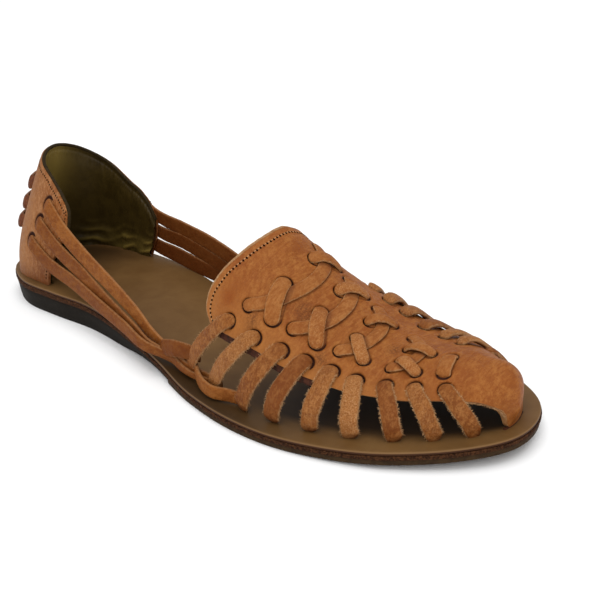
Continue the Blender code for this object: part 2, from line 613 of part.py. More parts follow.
def backStrap(row):
    """A strap across the back of the heel cup, both ends in the cup's wall."""
    middle, end, reach = row
    t = np.linspace(-1.0, 1.0, BACK_STATIONS)
    height = middle + (end - middle) * t * t
    rise = ease(1 - np.abs(t), 0.0, 0.14)
    lift = -BACK_END_DEPTH + rise * (BACK_END_DEPTH + STRAP_THICK / 2 - BACK_STRAP_SUNK)
    centres = cupPoint(t * reach, height, lift)
    return strip(centres, outward(cupPoint, t * reach, height, 0.0), BACK_STRAP_WIDTH, STRAP_THICK)


def cupWall():
    """The heel cup, open at the front and the top, its lower edge just over the footbed."""
    place = np.sin(np.linspace(-CUP_SPREAD, CUP_SPREAD, CUP_PLACES + 1))[None, :] / np.sin(CUP_SPREAD)
    level = np.linspace(0.0, 1.0, CUP_LEVELS + 1)[:, None]
    height = GAP + level * (rimHeight(place) - GAP)
    place = np.broadcast_to(place, height.shape)
    return wall(cupPoint(place, height, 0.0), cupPoint(place, height, -COUNTER_WALL), True)


def joinAll(name, base, parts, material):
    """Join strips to their wall into one solid."""
    group = bpy.data.collections.new(name + " strips")
    bpy.context.scene.collection.children.link(group)
    body = addObject(name, base, material)
    for number, shape in enumerate(parts):
        piece = addObject(f"{name}_strip_{number}", shape)
        bpy.context.scene.collection.objects.unlink(piece)
        group.objects.link(piece)
        piece.hide_render = True
        piece.display_type = "WIRE"
    union = body.modifiers.new("join", "BOOLEAN")
    union.operation = "UNION"
    union.operand_type = "COLLECTION"
    union.collection = group
    union.solver = "EXACT"
    union.use_self = True
    return body


def build():
    for item in list(bpy.data.objects):
        bpy.data.objects.remove(item, do_unlink=True)

    soleLayer("insole", "footbed_leather", footbedTop, insoleBottom, INSOLE_INSET)
    soleLayer("midsole", "edge_leather", midsoleTop, midsoleBottom, 0.0)
    soleLayer("heel", "heel_rubber", rubberTop, rubberBottom, HEEL_INSET, toY=HEEL_FRONT - GAP / 2,
              taper=HEEL_TAPER)
    soleLayer("outsole", "forefoot_rubber", rubberTop, rubberBottom, FOREFOOT_INSET,
              fromY=HEEL_FRONT + GAP / 2)

    strips = [sideStrap(row, 1) for row in LATERAL_STRAPS]
    strips += [sideStrap(row, -1) for row in MEDIAL_STRAPS]
    strips += [weaveStrip(row, UNDER_DIP, UNDER_HEIGHT, UNDER_END) for row in UNDER_STRIPS]
    strips += [weaveStrip(row, 0.0, OVER_HEIGHT, OVER_END) for row in OVER_STRIPS]
    strips.append(weaveStrip(TOE_BAR, 0.0, BAR_HEIGHT, OVER_END))
    strips += [quarterStrap(spec, 1) for spec in LATERAL_QUARTERS]
    strips += [quarterStrap(spec, -1) for spec in MEDIAL_QUARTERS]
    joinAll("upper", vampWall(), strips, "tan_leather")

    joinAll("heel_counter", cupWall(), [backStrap(row) for row in BACK_STRAPS], "tan_leather")


build()
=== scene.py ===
import bmesh
import bpy
import numpy as np
from mathutils import Matrix, Vector


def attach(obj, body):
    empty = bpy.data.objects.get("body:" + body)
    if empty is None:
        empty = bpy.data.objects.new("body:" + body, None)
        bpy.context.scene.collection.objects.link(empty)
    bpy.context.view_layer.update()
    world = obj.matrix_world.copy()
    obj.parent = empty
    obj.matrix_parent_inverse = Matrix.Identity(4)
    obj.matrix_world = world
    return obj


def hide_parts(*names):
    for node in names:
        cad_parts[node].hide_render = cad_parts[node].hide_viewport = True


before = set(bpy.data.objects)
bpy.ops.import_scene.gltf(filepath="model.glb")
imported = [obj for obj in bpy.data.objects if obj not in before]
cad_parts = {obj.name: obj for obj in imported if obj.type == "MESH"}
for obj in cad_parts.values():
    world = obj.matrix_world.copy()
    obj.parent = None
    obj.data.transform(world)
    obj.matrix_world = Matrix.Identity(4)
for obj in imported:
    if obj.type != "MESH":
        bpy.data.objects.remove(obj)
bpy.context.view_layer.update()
mm = 0.001

# Everything is worked out in millimetres: heel at y 0, toe at y 262, +X the outer side, floor at z 0.
# A table is a dictionary of its columns' names and its rows.


def column(table, name):
    # one named column of a table
    return np.array([row[table["columns"].index(name)] for row in table["rows"]], dtype=float)


def smooth(knots, values, at):
    # cubic pieces through the table's values; the slope at a row is that of its neighbours
    slopes = np.gradient(values, knots)
    at = np.clip(at, knots[0], knots[-1])
    left = np.clip(np.searchsorted(knots, at, side="right") - 1, 0, len(knots) - 2)
    span = knots[left + 1] - knots[left]
    t = (at - knots[left]) / span
    return ((1 + 2 * t) * (1 - t) ** 2 * values[left] + t * (1 - t) ** 2 * span * slopes[left]
            + t * t * (3 - 2 * t) * values[left + 1] + t * t * (t - 1) * span * slopes[left + 1])


def ease(value, start, end):
    # 0 before start, 1 after end, and a smooth step between: 3 t squared less 2 t cubed
    t = np.clip((value - start) / (end - start), 0.0, 1.0)
    return t * t * (3 - 2 * t)


def bell(distance, breadth):
    # 1 at no distance, falling off as e to the minus square of distance over breadth
    return np.exp(-(distance / breadth) ** 2)


def unit(vectors):
    # each vector divided by its length
    return vectors / np.linalg.norm(vectors, axis=-1, keepdims=True)


def spacing(points):
    # length run along a path up to each of its points
    return np.concatenate([[0.0], np.cumsum(np.linalg.norm(np.diff(points, axis=0), axis=1))])


def resample(points, count):
    # a smooth curve through a few points, at an even spacing
    points = np.asarray(points, dtype=float)
    length = spacing(points)
    at = np.linspace(0.0, length[-1], count)
    return np.stack([smooth(length, points[:, axis], at) for axis in range(points.shape[1])], axis=-1)


def noise(points, scale, seed=0, octaves=3):
    # smooth noise, about -1 to 1: sines of turned and warped coordinates, each octave twice as fine
    pick = np.random.default_rng(seed)
    total = np.zeros(points.shape[:-1])
    size = 1.0
    for octave in range(octaves):
        for _ in range(4):
            direction = pick.normal(size=3)
            direction /= np.linalg.norm(direction)
            phase = pick.uniform(0, 6.28, 2)
            base = points @ direction * scale * 2 ** octave * pick.uniform(0.8, 1.25)
            warp = np.sin(points @ np.roll(direction, 1) * scale * 2 ** octave * 0.7 + phase[1]) * 1.3
            total += size * np.sin(base + warp + phase[0]) / 4
        size *= 0.55
    return total


# The sole's form

sole = dict(
    length=262.0,
    footbedAtHeel=11.5,         # top of the footbed above the floor
    footbedAtBall=4.6,
    toeRise=4.2,                # rise of the sole from the ball to the tip
    archLift=1.5,               # clearance under the waist
    insoleThick=1.1,
    boardAtHeel=2.1,            # thickness of the board between footbed and rubber
    boardAtBall=1.4,
    gap=0.3,                    # between layers that meet
    drop=(0.25, 0.62),          # where the footbed comes down, as shares of the length
    spring=0.72,                # where the toe spring starts
    arch=(0.36, 0.56),          # where the waist stands clear of the floor
    heelBackX=0.0,
    toeTipX=-3.2,
    toeMargin=5.6,              # bare footbed in front of the upper
    outlineSteps=720,
    # outer and inner edge, and the bare margin outside the upper
    outline=dict(columns=("along", "lateral", "medial", "lateralMargin", "medialMargin"), rows=(
        (0.02, 17.2, -14.0, 3.0, 3.0),
        (0.06, 24.4, -22.6, 3.0, 3.0),
        (0.12, 29.2, -28.1, 3.0, 3.0),
        (0.20, 29.0, -29.4, 3.0, 3.0),
        (0.30, 27.5, -27.1, 4.0, 4.0),
        (0.40, 30.2, -24.0, 5.5, 5.0),
        (0.50, 35.0, -25.3, 6.0, 6.0),
        (0.60, 42.0, -32.9, 6.0, 6.4),
        (0.68, 44.9, -39.4, 5.6, 6.4),
        (0.75, 44.3, -43.4, 5.8, 6.3),
        (0.82, 40.0, -43.4, 6.4, 6.2),
        (0.88, 33.6, -39.3, 6.4, 6.1),
        (0.93, 24.7, -32.2, 6.1, 6.0),
        (0.97, 14.5, -23.5, 6.0, 6.0))))


def footbedTop(y):
    # high under the heel, low under the ball, rising at the toe
    drop = (sole["footbedAtHeel"] - sole["footbedAtBall"]) * ease(y / sole["length"], *sole["drop"])
    return sole["footbedAtHeel"] - drop + toeSpring(y)


def toeSpring(y):
    # the rise grows with the square of the way from the ball
    past = np.maximum(y / sole["length"] - sole["spring"], 0.0)
    return sole["toeRise"] * (past / (1 - sole["spring"])) ** 2


def insoleBottom(y):
    # the footbed's top less its thickness
    return footbedTop(y) - sole["insoleThick"]


def boardTop(y):
    # a gap under the insole
    return insoleBottom(y) - sole["gap"]


def boardBottom(y):
    # thicker under the heel than under the ball
    share = ease(y / sole["length"], *sole["drop"])
    return boardTop(y) - sole["boardAtHeel"] - (sole["boardAtBall"] - sole["boardAtHeel"]) * share


def rubberBottom(y):
    # flat on the floor at heel and ball, raised by a sine squared under the waist, and by the toe spring
    start, end = sole["arch"]
    t = np.clip((y / sole["length"] - start) / (end - start), 0.0, 1.0)
    return sole["archLift"] * np.sin(np.pi * t) ** 2 + toeSpring(y)


def soleOutline():
    # y runs as (1 - cos angle) / 2 of the length and x smoothly through the table, from the heel's back
    # round the outer side; the outward normal is the step between neighbours, turned by a right angle
    turn = np.arccos(1 - 2 * column(sole["outline"], "along"))
    knots = np.concatenate([[0.0], turn, [np.pi], 2 * np.pi - turn[::-1]])
    across = np.concatenate([[sole["heelBackX"]], column(sole["outline"], "lateral"), [sole["toeTipX"]],
                             column(sole["outline"], "medial")[::-1]])
    knots = np.concatenate([knots - 2 * np.pi, knots, knots + 2 * np.pi])
    angle = np.linspace(0.0, 2 * np.pi, sole["outlineSteps"] + 1)
    x = smooth(knots, np.tile(across, 3), angle)
    y = sole["length"] * (1 - np.cos(angle)) / 2
    step = np.stack([np.roll(x[:-1], -1) - np.roll(x[:-1], 1), np.roll(y[:-1], -1) - np.roll(y[:-1], 1)])
    step = step / np.hypot(*step)
    step = np.concatenate([step, step[:, :1]], axis=1)
    return angle, x, y, step[1], -step[0]


outlineAngle, outlineX, outlineY, normalX, normalY = soleOutline()
centreX = (outlineX.max() + outlineX.min()) / 2
middleY = sole["length"] / 2
toeY = sole["length"] - sole["toeMargin"]      # the tip of the upper


def soleEdge(angle, inset):
    # points of the outline, moved inwards along its normal
    x = np.interp(angle, outlineAngle, outlineX - inset * normalX)
    y = np.interp(angle, outlineAngle, outlineY - inset * normalY)
    return x, y


def toWorld(points):
    # from this frame to metres, centred over the floor
    return (np.asarray(points, dtype=float) - (centreX, middleY, 0.0)) * mm


# The last: the foot's form, which the vamp and the straps lie on

last = dict(
    fullness=1.9,               # exponent of the section's superellipse, 2 is an ellipse
    slimToe=(0.4, 226.0, 246.0),        # the inner side is slimmer by this, between these y
    slimThroat=(0.35, 170.0, 204.0),
    ridgeShare=0.86,            # how far the ridge follows the middle of the section
    ridgeOffset=-0.6,
    toeRoundFrom=234.0,         # here the last begins to close over the toes
    toeRoundness=3.0,
    toeWall=7.6,                # height of the upright front of the toe
    liftSpan=3.0,               # between these distances from the last a lift that varies is read straight
    crown=dict(columns=("y", "height"), rows=(      # height of the ridge over the footbed
        (130.0, 75.7), (155.0, 59.9), (170.0, 49.3), (185.0, 37.2), (200.0, 27.4),
        (215.0, 21.8), (230.0, 20.6), (242.0, 21.4), (256.0, 20.0))))


def lastSide(y, side, lift):
    # edge of the last on the footbed: the outline moved in by its margin; lift, one value or one for
    # each y, moves it outwards
    if np.ndim(lift):
        span = last["liftSpan"]
        low, high = lastSide(y, side, -span), lastSide(y, side, span)
        return low + (high - low) * (lift + span) / (2 * span)
    half = sole["outlineSteps"] // 2
    part = slice(0, half + 1) if side > 0 else slice(half, None)
    turn = np.where(outlineAngle <= np.pi, outlineAngle, 2 * np.pi - outlineAngle)[part]
    knots = np.concatenate([[0.0], column(sole["outline"], "along"), [1.0]])
    margins = column(sole["outline"], "lateralMargin" if side > 0 else "medialMargin")
    margins = np.concatenate([margins[:1], margins, [sole["toeMargin"]]])
    inset = smooth(knots, margins, (1 - np.cos(turn)) / 2) - lift
    x = outlineX[part] - inset * normalX[part]
    along = outlineY[part] - inset * normalY[part]
    order = np.argsort(along)
    return np.interp(y, along[order], x[order])


def ridgeX(lateral, medial):
    # the ridge follows the middle of the section, a little to the inner side
    return last["ridgeShare"] * (lateral + medial) / 2 + last["ridgeOffset"]


def crown(y):
    # height of the ridge over the footbed, closing to the upright wall of the toe as a superellipse
    full = smooth(column(last["crown"], "y"), column(last["crown"], "height"), y)
    t = np.clip((y - last["toeRoundFrom"]) / (toeY - last["toeRoundFrom"]), 0.0, 1.0)
    wall, power = last["toeWall"], last["toeRoundness"]
    return wall + (full - wall) * (1 - t ** power) ** (1 / power)


def innerFullness(y, reach):
    # exponent of the section, less on the inner side at the toe and under the throat
    toe, toeStart, toeEnd = last["slimToe"]
    throat, throatStart, throatEnd = last["slimThroat"]
    slim = toe * ease(y, toeStart, toeEnd) + throat * (1 - ease(y, throatStart, throatEnd))
    return last["fullness"] - slim * (np.asarray(reach) < 0)


def lastPoint(y, reach, lift):
    # y along the last, reach from its ridge (0) to the footbed (1, inner side -1); across it goes as
    # sin(turn) to the power 2 / fullness, and up as cos(turn) to the same power
    forward = y + lift * ease(y, last["toeRoundFrom"], toeY)
    lateral = lastSide(forward, 1, lift)
    medial = lastSide(forward, -1, lift)
    ridge = ridgeX(lateral, medial)
    turn = np.abs(reach) * np.pi / 2
    fullness = innerFullness(y, reach)
    across = np.sin(turn) ** (2 / fullness)
    x = ridge + np.where(reach > 0, lateral - ridge, medial - ridge) * across
    z = footbedTop(forward) + (crown(y) + lift) * np.maximum(np.cos(turn), 0.0) ** (2 / fullness)
    return np.stack(np.broadcast_arrays(x, forward, z), axis=-1)


def reachAt(x, y):
    # how far down the section a point seen from above lies, negative on the inner side
    lateral = lastSide(y, 1, 0.0)
    medial = lastSide(y, -1, 0.0)
    ridge = ridgeX(lateral, medial)
    share = (x - ridge) / np.where(x > ridge, lateral - ridge, ridge - medial)
    fullness = innerFullness(y, share)
    return np.sign(share) * np.arcsin(np.minimum(np.abs(share), 1.0) ** (fullness / 2)) * 2 / np.pi


def reachAtHeight(y, height):
    # how far down the section a point at this height over the footbed lies
    return np.arccos(np.clip(height / crown(y), 0.0, 1.0) ** (last["fullness"] / 2)) * 2 / np.pi


# The heel cup's form

cup = dict(
    wall=2.6,                   # with its lining
    spread=1.3,                 # angle that packs the cup's places closer at its front edges
    backShare=0.55,             # share of the cup's half length that goes round the back
    frontPlace=0.95,            # the rim's height here sets the scale of the front edge's shares
    centre=(-1.0, 32.0, 0.0),   # inside the cup, to tell in from out
    section=dict(columns=("height", "halfWidth", "middle", "back"), rows=(
        (0.0, 26.4, -0.5, 2.6), (10.0, 25.9, -1.0, 3.6), (19.0, 24.6, -1.6, 6.2),
        (28.0, 22.9, -2.6, 9.4), (36.0, 21.2, -3.8, 12.0), (46.0, 18.6, -5.4, 15.2),
        (54.0, 16.2, -6.6, 18.4))),
    # place along the cup from its inner front (-1) round the back (0) to its outer front (1)
    rim=dict(columns=("place", "height"), rows=(
        (-1.0, 19.0), (-0.95, 26.0), (-0.88, 30.0), (-0.72, 34.5), (-0.55, 39.5), (-0.35, 45.4),
        (-0.12, 50.6), (0.1, 52.6), (0.35, 50.4), (0.55, 46.4), (0.72, 41.6), (0.86, 37.0), (0.93, 34.0),
        (0.97, 30.6), (1.0, 25.8))),
    # share of the rim's height at the front, and y there on the outer and the inner side
    front=dict(columns=("share", "lateral", "medial"), rows=(
        (0.0, 45.2, 50.2), (0.25, 47.4, 53.6), (0.5, 52.6, 56.6), (0.75, 57.2, 57.8), (1.0, 59.2, 57.4))))
cupCentre = np.array(cup["centre"])


def rimHeight(place):
    # the rim's height over the footbed, smoothly through its table
    return smooth(column(cup["rim"], "place"), column(cup["rim"], "height"), place)


def cupPoint(place, height, lift):
    # round the back a half circle of the table's half width, then straight on to the front edge
    rows = {name: column(cup["section"], name) for name in cup["section"]["columns"]}
    half = smooth(rows["height"], rows["halfWidth"], height)
    middle = smooth(rows["height"], rows["middle"], height)
    centreY = smooth(rows["height"], rows["back"], height) + half
    share = np.clip(height / rimHeight(np.sign(place) * cup["frontPlace"]), 0.0, 1.0)
    knots = column(cup["front"], "share")
    front = np.where(place > 0, smooth(knots, column(cup["front"], "lateral"), share),
                     smooth(knots, column(cup["front"], "medial"), share))
    turn = np.clip(np.abs(place) / cup["backShare"], 0.0, 1.0) * np.pi / 2
    ahead = np.clip((np.abs(place) - cup["backShare"]) / (1 - cup["backShare"]), 0.0, None)
    x = middle + np.sign(place) * (half + lift) * np.sin(turn)
    y = centreY - (half + lift) * np.cos(turn) + ahead * (front - centreY)
    return np.stack(np.broadcast_arrays(x, y, sole["footbedAtHeel"] + height), axis=-1)


def outward(surface, first, second, lift):
    # normal of a surface by differences, turned to the side that lift goes to
    small = 0.01
    here = surface(first, second, lift)
    along = surface(first + small, second, lift) - here
    across = surface(first, second + small, lift) - here
    out = surface(first, second, lift + small) - here
    normal = unit(np.cross(along, across))
    return normal * np.sign(np.sum(normal * out, axis=-1, keepdims=True))


def gridNormals(points, towards):
    # normals of a grid of points by differences, turned to one side
    normal = np.cross(np.gradient(points, axis=0), np.gradient(points, axis=1))
    normal /= np.maximum(np.linalg.norm(normal, axis=-1, keepdims=True), 1e-9)
    return normal * np.sign(np.sum(normal * towards, axis=-1, keepdims=True) + 1e-12)


# Meshes


def gridFaces(rows, columns, flip=False, wrap=False):
    # quads of a rows by columns sheet; wrap closes the columns into a tube
    row = np.arange(rows - 1)[:, None]
    here = np.arange(columns if wrap else columns - 1)[None, :]
    after = (here + 1) % columns
    quad = np.stack(np.broadcast_arrays(row * columns + here, row * columns + after,
                                        (row + 1) * columns + after, (row + 1) * columns + here), axis=-1)
    quad = quad.reshape(-1, 4)
    return quad[:, ::-1] if flip else quad


def meshPiece(name, points, faces, material, nodes, fields=None):
    # a mesh of points and faces with the same number of sides, with its fields as attributes of the points
    mesh = bpy.data.meshes.new(name)
    faces = np.asarray(faces, dtype=np.int32)
    sides = faces.shape[1]
    mesh.vertices.add(len(points))
    mesh.vertices.foreach_set("co", toWorld(points).astype(np.float32).ravel())
    mesh.loops.add(faces.size)
    mesh.loops.foreach_set("vertex_index", faces.ravel())
    mesh.polygons.add(len(faces))
    mesh.polygons.foreach_set("loop_start", np.arange(len(faces), dtype=np.int32) * sides)
    mesh.polygons.foreach_set("loop_total", np.full(len(faces), sides, dtype=np.int32))
    mesh.update(calc_edges=True)
    for field, values in (fields or {}).items():
        data = mesh.attributes.new(field, "FLOAT", "POINT")
        data.data.foreach_set("value", np.asarray(values, dtype=np.float32).ravel())
    mesh.validate()
    mesh.shade_smooth()
    mesh.materials.append(material)
    item = bpy.data.objects.new(name, mesh)
    bpy.context.scene.collection.objects.link(item)
    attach(item, "root")
    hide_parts(*nodes)
    return item


def joinRibbons(name, parts, material, nodes):
    # several ribbons as one mesh of triangles
    faces, offset = [], 0
    for part in parts:
        quads = part["quads"]
        faces.append(np.concatenate([quads[:, [0, 1, 2]], quads[:, [0, 2, 3]], part["tris"]]) + offset)
        offset += len(part["points"])
    fields = {key: np.concatenate([part["fields"][key] for part in parts]) for key in parts[0]["fields"]}
    points = np.concatenate([part["points"] for part in parts])
    return meshPiece(name, points, np.concatenate(faces), material, nodes, fields)


# Seeds of single ribbons, which also pick the ribbon's tone: 0 pale, 1 deep. The side straps have 0 to 8 on
# the outer side and from 20 on the inner one; the strips over the weave start at 40 and those under at 60.
seeds = dict(inner=20, overStrip=40, underStrip=60, toeBar=80, quarter=90, innerQuarter=95, tongue=98,
             binding=120, backStrap=130, throatLining=140, facing=141, arch=142, toeShadowLine=143)
tones = dict(enumerate((0.5, 0.3, 0.55, 0.8, 0.4, 0.05, 0.7, 0.4, 0.6)))
# the deep tones of the inner quarter straps, 95 to 97, are painted shade
tones.update({90: 0.64, 91: 0.78, 92: 0.8, 95: 0.9, 96: 0.95, 97: 1.0, 98: 0.9, 130: 0.95, 131: 1.0,
              132: 1.0})


def toneOf(seed):
    # the tone given in the table, or else a fixed random one
    return tones.get(seed, float(np.random.default_rng(1000 + seed).uniform(0.2, 0.8)))


def spread(values, count):
    # a few values, drawn out evenly over count points with straight lines between
    values = np.atleast_1d(np.asarray(values, dtype=float))
    return np.interp(np.linspace(0, 1, count), np.linspace(0, 1, len(values)), values)


def even(points, normals, step):
    # the path again at even steps, its normals carried along
    length = spacing(points)
    count = max(int(length[-1] / step), 8)
    at = np.linspace(0.0, length[-1], count + 1)
    path = np.stack([smooth(length, points[:, axis], at) for axis in range(3)], axis=-1)
    up = np.stack([np.interp(at, length, normals[:, axis]) for axis in range(3)], axis=-1)
    return path, unit(up)


def ribbon(points, normals, width, thick, roundStart=1.0, roundEnd=1.0, step=0.45, ring=22, square=4.0,
           fray=0.07, seed=0, arch=0.0, floorGap=None, taperEnd=0.5, sinkStart=0.0, sinkEnd=0.0,
           sinkReach=3.2):
    # A strap of leather along a path. Its section is a superellipse of exponent square, bowed up by arch in
    # the middle: cos(turn) to the power 2 / square across, sin(turn) to the same power up. Towards an end the
    # width goes as sqrt(1 - t squared), which rounds it in plan, and there it can sink below its path. The
    # cut edges are ragged by fray.
    path, up = even(points, normals, step)
    length = spacing(path)
    total = length[-1]
    sink = sinkStart * (1 - ease(length, 0.0, sinkReach))
    sink += sinkEnd * (1 - ease(total - length, 0.0, sinkReach))
    path = path - up * sink[:, None]
    width = spread(width, len(path))
    thick = spread(thick, len(path))
    half = width / 2
    shape = np.ones(len(path))
    for distance, roundness in ((length, roundStart), (total - length, roundEnd)):
        if roundness:
            reach = half * roundness
            inside = np.clip((reach - distance) / reach, 0.0, 1.0)
            shape = np.minimum(shape, np.sqrt(np.maximum(1 - inside ** 2, 0.0)))
    along = unit(np.gradient(path, axis=0))
    side = unit(np.cross(along, up))
    up = np.cross(side, along)
    turn = np.linspace(0.0, 2 * np.pi, ring, endpoint=False)
    across = (np.sign(np.cos(turn)) * np.abs(np.cos(turn)) ** (2 / square) / 2)[None, :]
    high = (np.sign(np.sin(turn)) * np.abs(np.sin(turn)) ** (2 / square) / 2)[None, :]
    still = np.zeros_like(length)
    ragged = noise(np.stack([length * 2.1, still + seed * 3.1, still], axis=-1), 1.0, seed)
    raggedOther = noise(np.stack([length * 2.1, still - seed * 1.7, still], axis=-1), 1.0, seed + 9)
    wobble = np.where(across > 0, ragged[:, None], raggedOther[:, None]) * fray
    reach = across * (width * shape)[:, None] + np.sign(across) * wobble * shape[:, None]
    endSlim = np.minimum(1.0, 0.25 + shape * 1.2) ** taperEnd
    height = high * (thick * endSlim)[:, None] + arch * (1 - (2 * across) ** 2)
    rings = path[:, None, :] + side[:, None, :] * reach[..., None] + up[:, None, :] * height[..., None]
    if floorGap is not None:
        rings[..., 2] = np.maximum(rings[..., 2], footbedTop(rings[..., 1]) + floorGap)
    full = np.ones_like(reach)
    fields = dict(edge=np.maximum(np.abs(across * 2) * full, 1 - shape[:, None]), top=high * 2 * full,
                  along=(length / total)[:, None] * full, tone=toneOf(seed) * full)
    fields = {key: value.ravel() for key, value in fields.items()}
    allPoints = rings.reshape(-1, 3)
    caps = []
    for row, corners in ((0, [0, 1, 2]), (len(path) - 1, [1, 0, 2])):
        allPoints = np.concatenate([allPoints, rings[row].mean(axis=0)[None]])
        here = row * ring + np.arange(ring)
        after = row * ring + (np.arange(ring) + 1) % ring
        caps.append(np.stack([here, after, np.full(ring, len(allPoints) - 1)], axis=-1)[:, corners])
        fields = {key: np.append(value, value[row * ring]) for key, value in fields.items()}
    quads = gridFaces(len(path), ring, wrap=True, flip=True)
    return dict(points=allPoints, quads=quads, tris=np.concatenate(caps), fields=fields, path=path, up=up,
                side=side, half=half * shape)


# Materials


def wire(tree, source, target):
    tree.links.new(source, target)


def nodeOf(tree, kind, **values):
    # a new node with its sockets or settings
    item = tree.nodes.new(kind)
    for key, value in values.items():
        if key in item.inputs:
            item.inputs[key].default_value = value
        else:
            setattr(item, key, value)
    return item


def put(tree, value, socket):
    # another node's output is wired in, and a number or a colour is set
    if hasattr(value, "is_output"):
        wire(tree, value, socket)
    else:
        socket.default_value = (*value, 1.0) if isinstance(value, tuple) else value


def noiseNode(tree, where, scale, detail=3.0, rough=0.55, distortion=0.0):
    item = nodeOf(tree, "ShaderNodeTexNoise", Scale=scale, Detail=detail, Roughness=rough,
                  Distortion=distortion)
    wire(tree, where, item.inputs["Vector"])
    return item.outputs["Fac"]


def rangeNode(tree, value, low, high, toLow=0.0, toHigh=1.0):
    # value from low to high becomes toLow to toHigh, and stays there beyond
    sockets = {"From Min": low, "From Max": high, "To Min": toLow, "To Max": toHigh}
    item = nodeOf(tree, "ShaderNodeMapRange", clamp=True, **sockets)
    wire(tree, value, item.inputs["Value"])
    return item.outputs["Result"]


def mixNode(tree, factor, first, second):
    item = nodeOf(tree, "ShaderNodeMix", data_type="RGBA", blend_type="MIX")
    for value, socket in ((factor, 0), (first, 6), (second, 7)):
        put(tree, value, item.inputs[socket])
    return item.outputs[2]


def mathNode(tree, operation, first, second):
    item = nodeOf(tree, "ShaderNodeMath", operation=operation)
    put(tree, first, item.inputs[0])
    put(tree, second, item.inputs[1])
    return item.outputs[0]


def fieldNode(tree, name):
    # an attribute of the piece's points
    return nodeOf(tree, "ShaderNodeAttribute", attribute_name=name).outputs["Fac"]


def newMaterial(name, roughness, specular):
    material = bpy.data.materials.new(name)
    material.use_nodes = True
    tree = material.node_tree
    shader = tree.nodes["Principled BSDF"]
    shader.inputs["Roughness"].default_value = roughness
    shader.inputs["Specular IOR Level"].default_value = specular
    return material, tree, shader, nodeOf(tree, "ShaderNodeTexCoord").outputs["Object"]


def bumpNodes(tree, shader, layers):
    # layers of height and distance in metres, each on top of the one before
    normal = None
    for height, distance in layers:
        bump = nodeOf(tree, "ShaderNodeBump", Strength=1.0, Distance=distance)
        wire(tree, height, bump.inputs["Height"])
        if normal is not None:
            wire(tree, normal, bump.inputs["Normal"])
        normal = bump.outputs["Normal"]
    wire(tree, normal, shader.inputs["Normal"])


# scales of the leather's noises, per metre
grainScales = dict(blotch=70.0, streak=330.0, folds=420.0, speck=1500.0, dust=2300.0, fine=2600.0)
strokeTurn = (0.3, 0.5, 0.9)       # slant of the leather's long strokes, in radians
# the dark marks beside the strips, at the strap feet and in the slots are painted shade; nap, patches and cut
# edges are the leather's own
markColours = dict(nap=(0.46, 0.235, 0.095), rubbed=(0.12, 0.036, 0.007), patch=(0.215, 0.048, 0.0035),
                   contactShade=(0.10, 0.026, 0.006), foot=(0.06, 0.018, 0.005), cutEdge=(0.48, 0.28, 0.13),
                   slot=(0.036, 0.009, 0.004))


